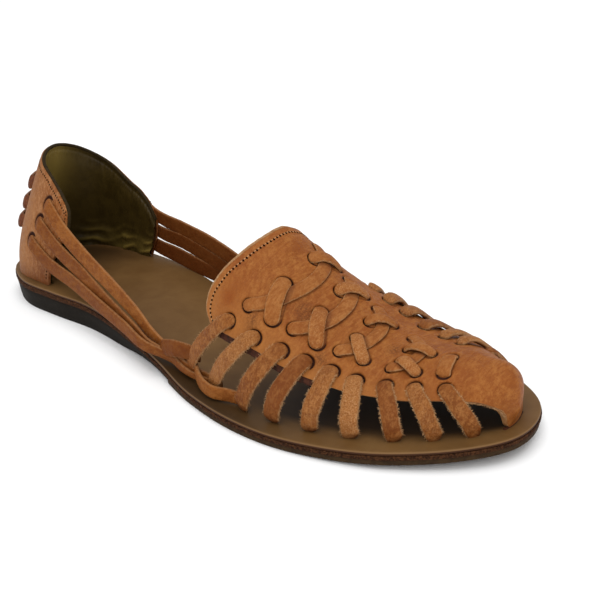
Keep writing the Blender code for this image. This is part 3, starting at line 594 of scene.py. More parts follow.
def tanLeather(name, base, deep, pale, fields=(), roughness=0.5, grain=1.0, suede=0.0, toneSpread=0.0,
               toneDeep=None, edgeMost=0.6, specular=0.16, strokeScale=(260.0, 1300.0, 600.0)):
    # Blotches, streaks, long strokes and specks of the deep and the pale colour over the base; each ribbon's
    # own tone, which is painted shade on the inner quarter straps; then the marks that the piece's fields
    # paint, among them painted shade and painted light.
    material, tree, shader, where = newMaterial(name, roughness, specular)
    colour = base

    def paint(amount, over):
        nonlocal colour
        colour = mixNode(tree, amount, colour, over)

    blotch = noiseNode(tree, where, grainScales["blotch"], 5.0, 0.7, 0.5)
    streak = noiseNode(tree, where, grainScales["streak"], 6.0, 0.75, 0.3)
    turned = nodeOf(tree, "ShaderNodeMapping", Rotation=strokeTurn, Scale=strokeScale)
    wire(tree, where, turned.inputs["Vector"])
    strokes = noiseNode(tree, turned.outputs["Vector"], 1.0, 5.0, 0.7, 0.2)
    speck = noiseNode(tree, where, grainScales["speck"], 4.0, 0.8)
    paint(rangeNode(tree, blotch, 0.44, 0.58, 0.0, 0.75), deep)
    paint(rangeNode(tree, streak, 0.48, 0.60, 0.0, 0.75), pale)
    paint(rangeNode(tree, strokes, 0.52, 0.62, 0.0, 0.7), deep)
    paint(rangeNode(tree, strokes, 0.47, 0.39, 0.0, 0.55), pale)
    paint(rangeNode(tree, speck, 0.52, 0.60, 0.0, 0.6), deep)
    if toneSpread:
        tone = fieldNode(tree, "tone")
        paint(rangeNode(tree, tone, 0.5, 1.0, 0.0, toneSpread), toneDeep or deep)
        paint(rangeNode(tree, tone, 0.5, 0.0, 0.0, toneSpread * 0.8), pale)
        if suede:
            napped = rangeNode(tree, tone, 0.6, 0.15)       # pale ribbons show their nap
            dust = noiseNode(tree, where, grainScales["dust"], 2.0, 0.8)
            light = mathNode(tree, "MULTIPLY", rangeNode(tree, dust, 0.52, 0.62, 0.0, 0.75), napped)
            dark = mathNode(tree, "MULTIPLY", rangeNode(tree, dust, 0.46, 0.36, 0.0, 0.65), napped)
            paint(light, markColours["nap"])
            paint(dark, deep)
    # paler where this field is high: painted light low on the vamp's sides and painted sheen round the back
    # of the cup
    if "paintedLight" in fields:
        paint(mathNode(tree, "MULTIPLY", fieldNode(tree, "paintedLight"), 0.7), pale)
        spots = rangeNode(tree, speck, 0.46, 0.54, 0.2, 1.0)
        paint(mathNode(tree, "MULTIPLY", fieldNode(tree, "rubbed"), spots), markColours["rubbed"])
    if "patch" in fields:
        paint(mathNode(tree, "MULTIPLY", fieldNode(tree, "patch"), 0.9), markColours["patch"])
    # darker where this field is high: painted shade beside the strips that lie on the skin, and low, at the
    # back and at the outer front of the cup
    if "contactShade" in fields:
        paint(fieldNode(tree, "contactShade"), markColours["contactShade"])
    # the lower end of each strap darkened: painted shade where it meets the footbed
    if "foot" in fields:
        paint(rangeNode(tree, fieldNode(tree, "along"), 0.86, 1.0, 0.0, 0.8), markColours["foot"])
    if "edge" in fields:
        ragged = mathNode(tree, "ADD", fieldNode(tree, "edge"), rangeNode(tree, speck, 0.3, 0.7, -0.14, 0.14))
        paint(rangeNode(tree, ragged, 0.88, 1.02, 0.0, edgeMost), markColours["cutEdge"])
    # dark crescents round the strap ends: painted shade in the gap where a strap goes into its slot
    if "slot" in fields:
        paint(rangeNode(tree, fieldNode(tree, "slot"), 0.12, 0.45), markColours["slot"])
    wire(tree, colour, shader.inputs["Base Color"])
    rough = rangeNode(tree, streak, 0.3, 0.7, roughness - 0.08, roughness + 0.12)
    wire(tree, rough, shader.inputs["Roughness"])
    fine = noiseNode(tree, where, grainScales["fine"], 3.0, 0.6)
    folds = noiseNode(tree, where, grainScales["folds"], 4.0, 0.6, 0.8)
    bumpNodes(tree, shader, [(folds, 0.0005 * grain), (strokes, 0.0003 * grain),
                             (fine, 0.00012 * grain + 0.00014 * suede)])
    return material


def plainSkin(name, base, dark, scale=300.0, roughness=0.6, bump=0.00008, span=(0.4, 0.65), specular=0.35,
              edge=None, lit=None, fields=()):
    # a base mottled with a darker colour, over which each field paints its colour up to its share
    material, tree, shader, where = newMaterial(name, roughness, specular)
    mottled = noiseNode(tree, where, scale, 4.0, 0.65, 0.3)
    colour = mixNode(tree, rangeNode(tree, mottled, *span), base, dark)
    if lit is not None:
        colour = mixNode(tree, fieldNode(tree, "lit"), colour, lit)
    for field, paint, most in fields:
        colour = mixNode(tree, rangeNode(tree, fieldNode(tree, field), 0.0, 1.0, 0.0, most), colour, paint)
    # a pale line where the edge field is high: painted highlight on the rounded top edge
    if edge is not None:
        colour = mixNode(tree, rangeNode(tree, fieldNode(tree, "edge"), 0.2, 1.0, 0.0, 0.75), colour, edge)
    wire(tree, colour, shader.inputs["Base Color"])
    bumpNodes(tree, shader, [(mottled, bump), (noiseNode(tree, where, scale * 6, 2.0), bump * 0.4)])
    return material


print("leathers and rubber")
leathers = dict(
    vampTan=dict(base=(0.285, 0.089, 0.0145), deep=(0.215, 0.056, 0.0075), pale=(0.345, 0.128, 0.028),
                 fields=("patch", "slot", "edge", "contactShade", "paintedLight"), roughness=0.55),
    strapTan=dict(base=(0.265, 0.088, 0.016), deep=(0.155, 0.039, 0.005), pale=(0.37, 0.152, 0.042),
                  fields=("edge", "foot"), roughness=0.6, grain=1.3, suede=0.8, toneSpread=0.85),
    weaveTan=dict(base=(0.305, 0.106, 0.022), deep=(0.225, 0.063, 0.009), pale=(0.385, 0.158, 0.044),
                  fields=("edge", "contactShade"), roughness=0.6, suede=0.3, toneSpread=0.4),
    # the deep tone colour darkens straps of high tone; on the inner quarter straps it is painted shade
    quarterTan=dict(base=(0.265, 0.088, 0.015), deep=(0.175, 0.048, 0.007), pale=(0.335, 0.125, 0.028),
                    toneDeep=(0.095, 0.022, 0.004), fields=("edge",), roughness=0.6, grain=0.8,
                    toneSpread=0.85, edgeMost=0.3, specular=0.08, strokeScale=(900.0, 140.0, 500.0)),
    # the cup's leather made darker: painted shade on the back straps
    shadedBackTan=dict(base=(0.122, 0.034, 0.011), deep=(0.078, 0.019, 0.006), pale=(0.19, 0.062, 0.021),
                 fields=("edge",), grain=0.8, edgeMost=0.2),
    cupTan=dict(base=(0.245, 0.082, 0.018), deep=(0.170, 0.049, 0.010), pale=(0.37, 0.175, 0.072),
                fields=("slot", "contactShade", "paintedLight", "rubbed"), roughness=0.6, grain=0.7, specular=0.1))
skins = dict(
    # near black: painted shade inside the vamp
    insideShade=dict(base=(0.016, 0.007, 0.003), dark=(0.010, 0.004, 0.002), roughness=0.95, specular=0.02),
    rawEdge=dict(base=(0.40, 0.235, 0.115), dark=(0.27, 0.13, 0.055), scale=1500.0, roughness=0.85,
                 bump=0.0001, specular=0.1),
    # dark: painted shade under the vamp's outer edge, and the painted shadow line at the toe
    facingAndShadow=dict(base=(0.062, 0.018, 0.008), dark=(0.022, 0.008, 0.004), scale=700.0, roughness=0.7,
                   bump=0.0002, specular=0.15),
    # its edge colour is a painted highlight along the rounded top edge; the shade field is painted shade
    footbedTan=dict(base=(0.150, 0.077, 0.0245), dark=(0.114, 0.055, 0.0155), scale=60.0, roughness=0.55,
                    bump=0.00003, span=(0.32, 0.68), specular=0.14, edge=(0.21, 0.115, 0.045),
                    fields=(("shade", (0.015, 0.0068, 0.0022), 0.94), ("side", (0.050, 0.018, 0.007), 1.0))),
    boardEdge=dict(base=(0.092, 0.036, 0.014), dark=(0.020, 0.007, 0.003), scale=1500.0, roughness=0.85,
                   bump=0.0005, span=(0.38, 0.60), specular=0.08),
    soleRubber=dict(base=(0.045, 0.024, 0.009), dark=(0.026, 0.013, 0.005), scale=500.0, roughness=0.75,
                    bump=0.0001, specular=0.12),
    heelRubber=dict(base=(0.0060, 0.0038, 0.0018), dark=(0.0095, 0.0065, 0.0035), scale=500.0, roughness=0.65,
                    bump=0.00006, specular=0.08),
    # its base is darker than the lining's own olive: painted shade inside the cup; lit is painted light
    cupLining=dict(base=(0.050, 0.031, 0.0055), dark=(0.032, 0.019, 0.003), scale=160.0, roughness=0.48,
                   bump=0.00018, specular=0.22, lit=(0.205, 0.140, 0.030)),
    rimBinding=dict(base=(0.030, 0.018, 0.005), dark=(0.016, 0.010, 0.003), scale=900.0, roughness=0.75,
                    bump=0.0001, specular=0.1),
    # near black: painted shade in the stitch holes
    pinholeShade=dict(base=(0.010, 0.004, 0.002), dark=(0.006, 0.003, 0.002), scale=500.0, roughness=0.95,
                 bump=0.00001, specular=0.02),
    thread=dict(base=(0.50, 0.29, 0.14), dark=(0.36, 0.19, 0.085), scale=3000.0, roughness=0.8, bump=0.00005,
                specular=0.1))
finish = {name: tanLeather(name, **look) for name, look in leathers.items()}
finish.update({name: plainSkin(name, **look) for name, look in skins.items()})


# Sole

layer = dict(
    stations=260,
    inward=(0.0, 0.06, 0.16, 0.34, 0.7, 1.6),       # steps of the rounded top edge
    sideShares=(0.25, 0.5, 0.75),
    under=(0.06, 0.25, 1.6),                        # steps of the lower edge
    underBreak=0.25,
    edgeReach=0.34,                                 # how far in the painted highlight along the rounded top edge shows
    fill=22)                                        # points across the top and the bottom


def soleLayer(name, top, bottom, inset, node, look, fromY=0.0, toY=sole["length"], taper=0.0,
              arris=0.35, rough=0.0):
    # rings across the sole from heel to toe: over the top, down the outer side, under and up the inner side;
    # the top edge falls as a quarter circle, arris less the root of arris squared less (arris - step) squared
    start, end = (np.arccos(1 - 2 * y / sole["length"]) for y in (fromY, toY))
    angle = np.linspace(start, end, layer["stations"] + 1)
    steps = np.array(layer["inward"])
    drops = arris - np.sqrt(np.maximum(arris ** 2 - (arris - np.minimum(steps, arris)) ** 2, 0.0))
    halves = []
    for turn in (angle, 2 * np.pi - angle):
        rows = []
        for step, drop in zip(steps[::-1], drops[::-1]):
            x, y = soleEdge(turn, inset + step)
            rows.append((x, y, top(y) - drop, np.full_like(x, max(0.0, 1 - step / layer["edgeReach"]))))
        for share in layer["sideShares"]:
            x, y = soleEdge(turn, inset + taper * share)
            rows.append((x, y, top(y) - arris + (bottom(y) - top(y) + 1.6 * arris) * share, np.zeros_like(x)))
        for step in layer["under"]:
            x, y = soleEdge(turn, inset + taper + step)
            rows.append((x, y, bottom(y) + max(layer["underBreak"] - step, 0.0), np.zeros_like(x)))
        halves.append(np.array(rows))
    lateral, medial = halves
    across = np.linspace(0, 1, layer["fill"])[1:-1][:, None]

    def filled(first, second, level):
        x = first[0] + (second[0] - first[0]) * across
        y = first[1] + (second[1] - first[1]) * across
        return np.stack([x, y, level(y), np.zeros_like(x)], axis=1)

    ring = np.concatenate([filled(medial[0], lateral[0], top), lateral,
                           filled(lateral[-1], medial[-1], bottom), medial[::-1]])
    points = np.transpose(ring[:, :3], (2, 0, 1)).copy()
    points[..., 1] = np.clip(points[..., 1], fromY, toY)
    rows, columns = points.shape[:2]
    place = np.arange(columns)
    topCount = layer["fill"] - 2
    wall = (place >= topCount + 4) & (place < topCount + 10)
    wall |= (place >= columns - 8) & (place < columns - 2)
    if rough:                                       # the cut side is uneven
        outwards = points - points.mean(axis=1, keepdims=True)
        outwards[..., 2] = 0
        outwards = outwards / np.maximum(np.linalg.norm(outwards, axis=-1, keepdims=True), 1e-6)
        points += outwards * (noise(points, 2.2, 5) * rough * wall)[..., None]
    x, y = points[..., 0], points[..., 1]
    side = ((place >= topCount + 5) & (place < columns - 5)) * np.ones_like(x)
    # shade under the vamp, inside the cup, and along the rim outside the straps at the waist and the ball
    within = np.minimum(lastSide(y, 1, 0.0) - x, x - lastSide(y, -1, 0.0))
    vampShade = ease(within, 1.0, 8.0) * ease(y, 166.0, 200.0)
    cupShade = 0.75 * ease(62.0 - y, 0.0, 40.0) * ease(within, -3.0, 6.0)
    rimShade = 0.84 * (1 - ease(within, -0.5, 2.5)) * ease(y, 100.0, 140.0) * (1 - ease(y, 176.0, 222.0))
    shade = np.maximum(np.maximum(vampShade, cupShade), rimShade)
    item = meshPiece(name, points.reshape(-1, 3), gridFaces(rows, columns, wrap=True), look, [node],
                     dict(edge=ring[:, 3].T.ravel(), side=side.ravel(), shade=shade.ravel()))
    shape = bmesh.new()                             # close both ends
    shape.from_mesh(item.data)
    bmesh.ops.remove_doubles(shape, verts=shape.verts, dist=2e-6)
    ends = [edge for edge in shape.edges if edge.is_boundary]
    if ends:
        bmesh.ops.holes_fill(shape, edges=ends)
    bmesh.ops.recalc_face_normals(shape, faces=shape.faces)
    shape.to_mesh(item.data)
    shape.free()


print("sole")
heelFront = 140.0          # where the rubber wedge ends and the forefoot sole begins
soleLayer("footbed", footbedTop, boardTop, 0.3, "insole", finish["footbedTan"], arris=0.5)
soleLayer("soleBoard", boardTop, boardBottom, 0.0, "midsole", finish["boardEdge"], arris=0.2,
          rough=0.12)
soleLayer("heelWedge", boardBottom, rubberBottom, 0.3, "heel", finish["heelRubber"],
          toY=heelFront, taper=0.8, arris=0.15)
soleLayer("forefootSole", boardBottom, rubberBottom, 0.4, "outsole", finish["soleRubber"],
          fromY=heelFront, arris=0.15)


# Side straps, each from its slot in the vamp down to the footbed

sideStrap = dict(
    thick=1.7,
    widthShare=0.83,            # of the width in the tables
    narrowing=0.14,             # it is this much narrower where it leaves its slot
    lift=0.75,                  # of its middle over the last
    footDrop=1.5,               # it loses this much lift on its way to the footbed
    curl=1.3,                   # how far its foot turns in under the shoe
    floorGap=0.25,
    slotDepth=0.9,
    # height, place and breadth of the loop that a strap makes beside its slot
    lateralLoop=(0.35, 0.15, 0.12),
    medialLoop=(1.0, 0.16, 0.13),
    medialLoops=range(3, 8),    # the inner straps that stand off in a loop
    sunk={1: 1.9, -1: 1.2},     # how deep its end goes into the slot, on the outer and the inner side
    # x and y of the slot and y of the foot, seen from above, swing towards the toe, width
    lateral=(
        (31.3, 172.2, 146.0, 0.6, 7.0), (30.1, 182.8, 163.0, 0.8, 7.2), (27.4, 192.4, 180.3, 0.0, 7.4),
        (24.8, 200.4, 194.2, -0.6, 7.4), (22.0, 208.2, 208.0, 0.3, 7.0), (20.1, 215.6, 221.2, 1.2, 7.0),
        (17.4, 224.2, 233.2, 2.4, 6.6), (14.4, 232.5, 243.0, 2.2, 6.4), (10.9, 240.9, 251.6, 1.8, 6.2)),
    medial=(
        (-23.0, 170.0, 141.5, 0.6, 7.0), (-22.0, 180.6, 158.0, 0.8, 7.2), (-17.0, 190.8, 176.0, 0.0, 7.2),
        (-14.8, 198.9, 190.5, -0.4, 7.2), (-14.6, 206.0, 204.0, 0.3, 7.0), (-12.2, 215.4, 216.5, 1.0, 7.0),
        (-10.7, 224.6, 227.5, 1.8, 6.4), (-9.0, 232.4, 236.0, 1.4, 6.0), (-14.4, 239.6, 243.4, 0.5, 5.4)))


def slotAt(line, up, half, depth, offset=None):
    # middle of a strap's round end, the direction that it leaves in, and its half width there
    ahead = unit(line[1] - line[0])
    return line[0] + ahead * (half if offset is None else offset), ahead, up[0], half, depth


def slotGroove(points, slot, breadth=0.5, out=0.05):
    # a crescent just outside the strap's round end, a bell of the distance from it, broadest at the tip;
    # and the swell of the leather round it
    start, ahead, up, half, depth = slot
    delta = points - start
    forward = np.sum(delta * ahead, axis=-1)
    aside = np.sum(delta * unit(np.cross(ahead, up)), axis=-1)
    near = np.linalg.norm(delta, axis=-1) < 4 * half
    distance = np.hypot(np.minimum(forward, 0.0), aside) - half - out
    tip = np.clip(-forward / half, 0.0, 1.0)
    mask = (1 - ease(forward, -0.35 * half, 0.5 * half)) * near
    return bell(distance, breadth * (0.45 + 0.55 * tip)) * mask, bell(distance - 1.3, 0.8) * mask


print("side straps")
vampSlots, sideParts = [], []
for side, rows, loop, first in ((1, sideStrap["lateral"], sideStrap["lateralLoop"], 0),
                                (-1, sideStrap["medial"], sideStrap["medialLoop"], seeds["inner"])):
    for number, (slotX, slotY, footY, swing, wide) in enumerate(rows):
        t = np.linspace(0.0, 1.0, 40)
        start = reachAt(slotX, slotY)
        y = slotY + (footY - slotY) * t + swing * np.sin(np.pi * t)
        reach = start + (side - start) * t
        standing = side > 0 or number in sideStrap["medialLoops"]
        lift = sideStrap["lift"] + standing * loop[0] * bell(t - loop[1], loop[2])
        path = lastPoint(y, reach, lift - sideStrap["footDrop"] * ease(t, 0.55, 1.0))
        up = outward(lastPoint, y, np.clip(reach, -0.98, 0.98), 0.0)
        path[:, 0] -= side * sideStrap["curl"] * ease(t, 0.84, 1.0) ** 2
        path[:, 2] = np.maximum(path[:, 2], footbedTop(path[:, 1]) + sideStrap["floorGap"])
        width = wide * sideStrap["widthShare"] * (1 - sideStrap["narrowing"] * (1 - ease(t, 0.0, 0.5)))
        sideParts.append(ribbon(path, up, width, sideStrap["thick"], 1.0, 0.75, seed=first + number,
                                fray=0.12, arch=0.16, square=2.8, sinkStart=sideStrap["sunk"][side],
                                sinkReach=2.6, taperEnd=0.8))
        vampSlots.append(slotAt(lastPoint(y[:2], reach[:2], 0.0), up, width[0] / 2, sideStrap["slotDepth"]))


# Weave on the vamp: strips over each crossing and strips that curve under them

weave = dict(
    overHeight=2.0, overThick=1.35, overEnds=0.42,      # ends: share of the length over which it comes down
    underHeight=0.55, underThick=1.1, underEnds=0.1,
    root=0.35,                  # height of the ends, before they sink in
    dip=0.35, dipReach=3.4,     # of a curved strip under each crossing
    underWidths=(4.8, 4.8, 4.3, 3.8),
    # ends as seen from above, and width
    over=(
        (14.0, 180.2, 26.7, 184.8, 5.5), (2.1, 179.3, -9.5, 183.2, 4.8),
        (10.8, 192.8, 22.0, 200.2, 5.1), (2.5, 191.0, -8.9, 196.0, 4.6),
        (9.1, 205.6, 16.2, 215.3, 4.3), (2.7, 203.9, -5.5, 211.1, 4.1),
        (8.8, 222.5, 11.5, 232.6, 3.9), (3.4, 220.8, 2.0, 231.7, 3.9)),
    under=(
        ((28.4, 174.0), (24.1, 179.6), (17.1, 184.0), (11.0, 185.6), (5.1, 185.5), (-1.5, 182.9),
         (-5.7, 177.6), (-8.5, 172.0)),
        ((24.1, 189.6), (20.5, 193.2), (16.6, 195.6), (12.0, 197.4), (7.5, 197.6), (2.5, 196.6),
         (-2.5, 193.9), (-8.4, 187.3)),
        ((18.9, 204.8), (16.6, 207.0), (13.1, 209.4), (8.3, 210.8), (3.4, 210.5), (-2.0, 207.7),
         (-7.4, 200.5)),
        ((13.7, 221.6), (12.3, 224.3), (9.9, 226.3), (6.9, 227.4), (3.0, 227.0), (-1.4, 222.4),
         (-3.7, 217.8))))
toeBar = dict(ends=(0.7, 236.8, 8.9, 239.3), width=5.2, widthShare=0.86, height=0.6, thick=1.4, root=0.2,
              endOffset=1.4)


def weavePath(knots, height, ends, root, crossings=()):
    # a strip through points seen from above: it comes down to its root at both ends and dips by a bell of
    # the distance from each crossing; also its normals, and the line under it on the last
    line = resample(knots, 44)
    x, y = line[:, 0], line[:, 1]
    t = np.linspace(0.0, 1.0, len(line))
    reach = reachAt(x, y)
    lift = root + (height - root) * ease(t, 0.0, ends) * ease(1 - t, 0.0, ends)
    for crossX, crossY in crossings:
        lift = lift - weave["dip"] * bell(np.hypot(x - crossX, y - crossY), weave["dipReach"])
    return lastPoint(y, reach, lift), outward(lastPoint, y, reach, 0.0), lastPoint(y, reach, 0.0)


def straight(fromX, fromY, toX, toY):
    # both ends and the middle
    return (fromX, fromY), ((fromX + toX) / 2, (fromY + toY) / 2), (toX, toY)


def trimmed(line, half):
    # the part of a line further than this from both its ends
    length = spacing(line)
    return line[(length > half * 0.9) & (length < length[-1] - half * 0.9)]


print("weave")
overParts, underParts, overLines, underLines = [], [], [], []
for number, (*ends, wide) in enumerate(weave["over"]):
    path, up, base = weavePath(straight(*ends), weave["overHeight"], weave["overEnds"], weave["root"])
    overParts.append(ribbon(path, up, (wide * 0.94, wide * 1.03, wide * 0.94), weave["overThick"],
                            seed=seeds["overStrip"] + number, fray=0.05, arch=0.25, square=2.8, step=0.35,
                            sinkStart=1.0, sinkEnd=0.5, sinkReach=2.2))
    overLines.append((trimmed(base, wide / 2), wide / 2, 1.0))
    vampSlots.append(slotAt(base, up, wide / 2, 1.0))
    vampSlots.append(slotAt(base[::-1], up[::-1], wide / 2, 0.55))
for number, (knots, wide) in enumerate(zip(weave["under"], weave["underWidths"])):
    pair = slice(2 * number, 2 * number + 2)            # the two strips that cross it
    crossings = [straight(*ends)[1] for *ends, _ in weave["over"][pair]]
    path, up, base = weavePath(knots, weave["underHeight"], weave["underEnds"], weave["root"], crossings)
    part = ribbon(path, up, (wide * 0.9, wide, wide, wide, wide * 0.9), weave["underThick"],
                  seed=seeds["underStrip"] + number, fray=0.06, arch=0.12, square=3.0, step=0.4,
                  sinkStart=0.7, sinkEnd=0.7, sinkReach=2.0)
    shadow = np.zeros(len(part["points"]))
    for line, half, _ in overLines[pair]:               # painted shadow beside the strips that lie on it
        apart = np.sqrt(((part["points"][:, None] - line[None]) ** 2).sum(axis=-1).min(axis=1))
        shadow = np.maximum(shadow, 0.6 * bell(np.maximum(apart - half - 0.2, 0.0), 0.7))
    part["fields"]["contactShade"] = shadow
    underParts.append(part)
    underLines.append((trimmed(base, wide / 2), wide / 2, 0.8))
    vampSlots.append(slotAt(base, up, wide / 2, 0.7))
    vampSlots.append(slotAt(base[::-1], up[::-1], wide / 2, 0.7))
path, up, base = weavePath(straight(*toeBar["ends"]), toeBar["height"], 0.2, toeBar["root"])
barPart = ribbon(path, up, toeBar["width"] * toeBar["widthShare"], toeBar["thick"], 0.3, 0.3,
                 seed=seeds["toeBar"], fray=0.05, arch=0.15, square=3.2, step=0.35, sinkStart=1.0,
                 sinkEnd=0.8, sinkReach=2.0)
barLine = (trimmed(base, 1.0), toeBar["width"] * 0.43, 0.9)
vampSlots.append(slotAt(base, up, toeBar["width"] * 0.42, 0.9, toeBar["endOffset"]))
vampSlots.append(slotAt(base[::-1], up[::-1], toeBar["width"] * 0.42, 0.5, toeBar["endOffset"]))


# Vamp

vamp = dict(
    liningDepth=1.6,            # of the inner face of the wall under its skin
    rows=300, columns=256, liningRows=90, liningColumns=80,
    clearance=0.1,              # over the footbed
    slotDepth=1.3, fullSlot=0.9,        # depth of the slots, and the strength that counts as full
    contactDepth=0.22,          # how far the skin gives way beside a strip
    swell=0.14,                 # round the slots
    throatSwell=0.4,
    toeSwell=2.3,               # the toe's lobe is fuller than the last
    throatY=168.2,
    # the back edge: share of the half width, and how far back of the ridge it runs
    throat=dict(columns=("share", "back"), rows=(
        (0.0, 0.0), (0.25, 0.6), (0.5, 3.2), (0.72, 7.4), (0.86, 9.6), (0.93, 9.0), (1.0, 5.2))),
    # how far down the section the lower edge reaches, 0 at the ridge and 1 at the footbed: it comes down to
    # the footbed only at the toe, which leaves a window on each side of the lobe there
    edge=dict(columns=("y", "lateral", "medial"), rows=(
        (158.0, 0.72, 0.72), (171.7, 0.677, 0.68), (184.0, 0.632, 0.64), (193.0, 0.615, 0.62),
        (203.0, 0.597, 0.61), (214.0, 0.595, 0.60), (224.0, 0.588, 0.60), (232.0, 0.60, 0.61),
        (242.0, 0.605, 0.63), (248.5, 0.60, 0.66), (251.5, 0.60, 0.75), (253.3, 0.615, 0.92),
        (254.5, 0.63, 1.0), (255.4, 0.67, 1.0), (256.0, 0.78, 1.0), (256.3, 0.96, 1.0), (260.0, 1.0, 1.0))),
    # creases and folds: height, breadth, and points seen from above
    creases=(
        (-0.24, 1.1, ((27.0, 164.5), (24.6, 167.9), (20.8, 170.9))),
        (-0.28, 1.2, ((26.9, 173.8), (22.4, 176.9), (17.4, 178.5))),
        (-0.28, 1.3, ((9.8, 177.2), (4.3, 177.0), (-2.5, 174.8))),
        (-0.32, 1.2, ((19.8, 189.9), (15.5, 191.2), (11.4, 193.1))),
        (0.34, 1.6, ((29.5, 176.3), (28.4, 181.0), (27.2, 185.7))),
        (0.34, 1.6, ((25.2, 191.7), (23.5, 195.8), (22.1, 200.1))),
        (-0.28, 1.1, ((18.2, 205.8), (17.0, 209.9), (15.7, 213.7))),
        (0.30, 1.6, ((20.2, 210.5), (17.1, 218.8), (14.5, 226.9))),
        (-0.28, 1.2, ((8.8, 243.7), (8.3, 246.3), (7.9, 248.5))),
        (-0.22, 1.4, ((-3.4, 240.5), (-1.6, 246.0), (0.1, 249.7))),
        (-0.28, 1.1, ((0.1, 210.2), (-5.5, 208.5), (-12.9, 205.6))),
        (-0.22, 1.0, ((21.0, 166.9), (15.8, 170.9), (9.5, 172.9)))),
    # rubbed dark spots: x, y and reach
    rubbed=((17.0, 190.2, 3.6), (11.0, 196.8, 3.0), (13.5, 208.5, 2.8), (23.5, 203.0, 2.4),
            (29.0, 178.8, 2.2), (6.0, 219.0, 2.6)),
    rubbedMost=0.85,
    # deep red patches by the throat and on the toe: strength, x, y and reach in x and in y
    patches=((1.0, 28.4, 168.6, 4.2, 4.6), (0.35, 14.0, 240.0, 10.0, 8.0)))


def vampGrid(rows, columns, lift):
    # rows from the throat to the toe, even along the ridge; columns share out the way between both edges
    share = np.linspace(-1.0, 1.0, columns + 1)[None, :]
    fine = np.sin(np.linspace(0, np.pi / 2, 2000))
    ridgeY = vamp["throatY"] * (1 - fine) + toeY * fine
    length = spacing(np.stack([fine * 0, ridgeY, crown(ridgeY)], axis=-1))
    along = np.interp(np.linspace(0, length[-1], rows + 1), length, fine)[:, None]
    back = smooth(column(vamp["throat"], "share"), column(vamp["throat"], "back"), np.abs(share))
    y = (vamp["throatY"] - back) * (1 - along) + toeY * along
    knots = column(vamp["edge"], "y")
    lateral, medial = (smooth(knots, column(vamp["edge"], name), y) for name in ("lateral", "medial"))
    reach = share * np.minimum(np.where(share > 0, lateral, medial), 1.0)
    skin = lastPoint(y, reach, lift)
    skin[..., 2] = np.maximum(skin[..., 2], footbedTop(skin[..., 1]) + vamp["clearance"])
    return skin, y, reach


def turnedIn(face, inner, share):
    # both sides of a sheet turn in to its inner face, past a point that share of the way there
    return np.concatenate([inner[:, :1], inner[:, :1] * share + face[:, :1] * (1 - share), face,
                           inner[:, -1:] * share + face[:, -1:] * (1 - share), inner[:, -1:]], axis=1)


def padded(field, rowsBefore, rowsAfter):
    # a field carried on over the turned edges
    return np.pad(field, ((rowsBefore, rowsAfter), (2, 2)), mode="edge")


print("vamp")
skin, gridY, gridReach = vampGrid(vamp["rows"], vamp["columns"], 0.0)
skinX, skinY = skin[..., 0], skin[..., 1]
ridgeFoot = np.stack([gridY * 0 + last["ridgeOffset"], gridY, footbedTop(gridY)], axis=-1)
normal = gridNormals(skin, skin - ridgeFoot)
slotField, contactShade, relief = (np.zeros(gridY.shape) for _ in range(3))
# round each slot a groove, darkened with painted shade, and a swell of the leather
for slot in vampSlots:
    ring, swell = slotGroove(skin, slot)
    slotField = np.maximum(slotField, ring * slot[-1] / vamp["fullSlot"])
    relief += swell * vamp["swell"]
flat = skin.reshape(-1, 3)
for line, half, strength in [*overLines, *underLines, barLine]:     # creases along a strip's sides, sunk into the skin and darkened with painted shade
    near = np.all((flat > line.min(axis=0) - 5) & (flat < line.max(axis=0) + 5), axis=1)
    apart = np.full(len(flat), 99.0)
    apart[near] = np.sqrt(((flat[near][:, None, :] - line[None]) ** 2).sum(axis=-1).min(axis=1))
    contactShade = np.maximum(contactShade, bell(apart - half + 0.05, 0.36).reshape(gridY.shape) * strength)
relief -= slotField * vamp["slotDepth"] + contactShade * vamp["contactDepth"]
relief += vamp["throatSwell"] * (1 - ease(gridY, 161, 184)) * (1 - 0.6 * np.abs(gridReach))
behindWeave = ease(gridY, 160, 172) * (1 - ease(gridY, 190, 230))
relief += 0.16 * noise(skin * (0.35, 1.0, 0.5), 0.55, 3, 2) * behindWeave        # soft folds across the vamp
relief += 0.10 * noise(skin, 0.16, 8, 2) + 0.12 * noise(skin, 0.30, 12, 2)
for height, breadth, knots in vamp["creases"]:
    line = resample(knots, 24)
    fade = np.sin(np.linspace(0.0, np.pi, 24)) ** 0.6
    apart = np.hypot(skinX[..., None] - line[:, 0], skinY[..., None] - line[:, 1])
    relief += height * bell(apart.min(axis=-1), breadth) * fade[apart.argmin(axis=-1)]
relief += vamp["toeSwell"] * ease(gridY, 245, 254) * (1 - ease(np.abs(gridReach), 0.3, 0.95))

# paler low on the vamp's sides: painted light
paintedLight = ease(gridReach, 0.36, 0.62) * (1 - ease(gridY, 236, 246))
spots = [bell(np.hypot(skinX - x, skinY - y), reach) for x, y, reach in vamp["rubbed"]]
rubbed = vamp["rubbedMost"] * np.max(spots, axis=0)
throatPatch, toePatch = (most * bell(skinX - x, reachX) * bell(skinY - y, reachY)
                         for most, x, y, reachX, reachY in vamp["patches"])
patch = np.maximum(throatPatch * np.clip(0.75 + 0.6 * noise(skin, 0.6, 15, 2), 0, 1), toePatch)

# at the toe the skin is pushed straight forward, so that its two sides meet
front = ease(gridY, toeY - 3.0, toeY - 0.1)[..., None]
surface = skin + unit(normal * (1 - front) + np.array((0.0, 1.0, 0.0)) * front) * relief[..., None]
surface[-1] = (surface[-1] + surface[-1, ::-1]) / 2

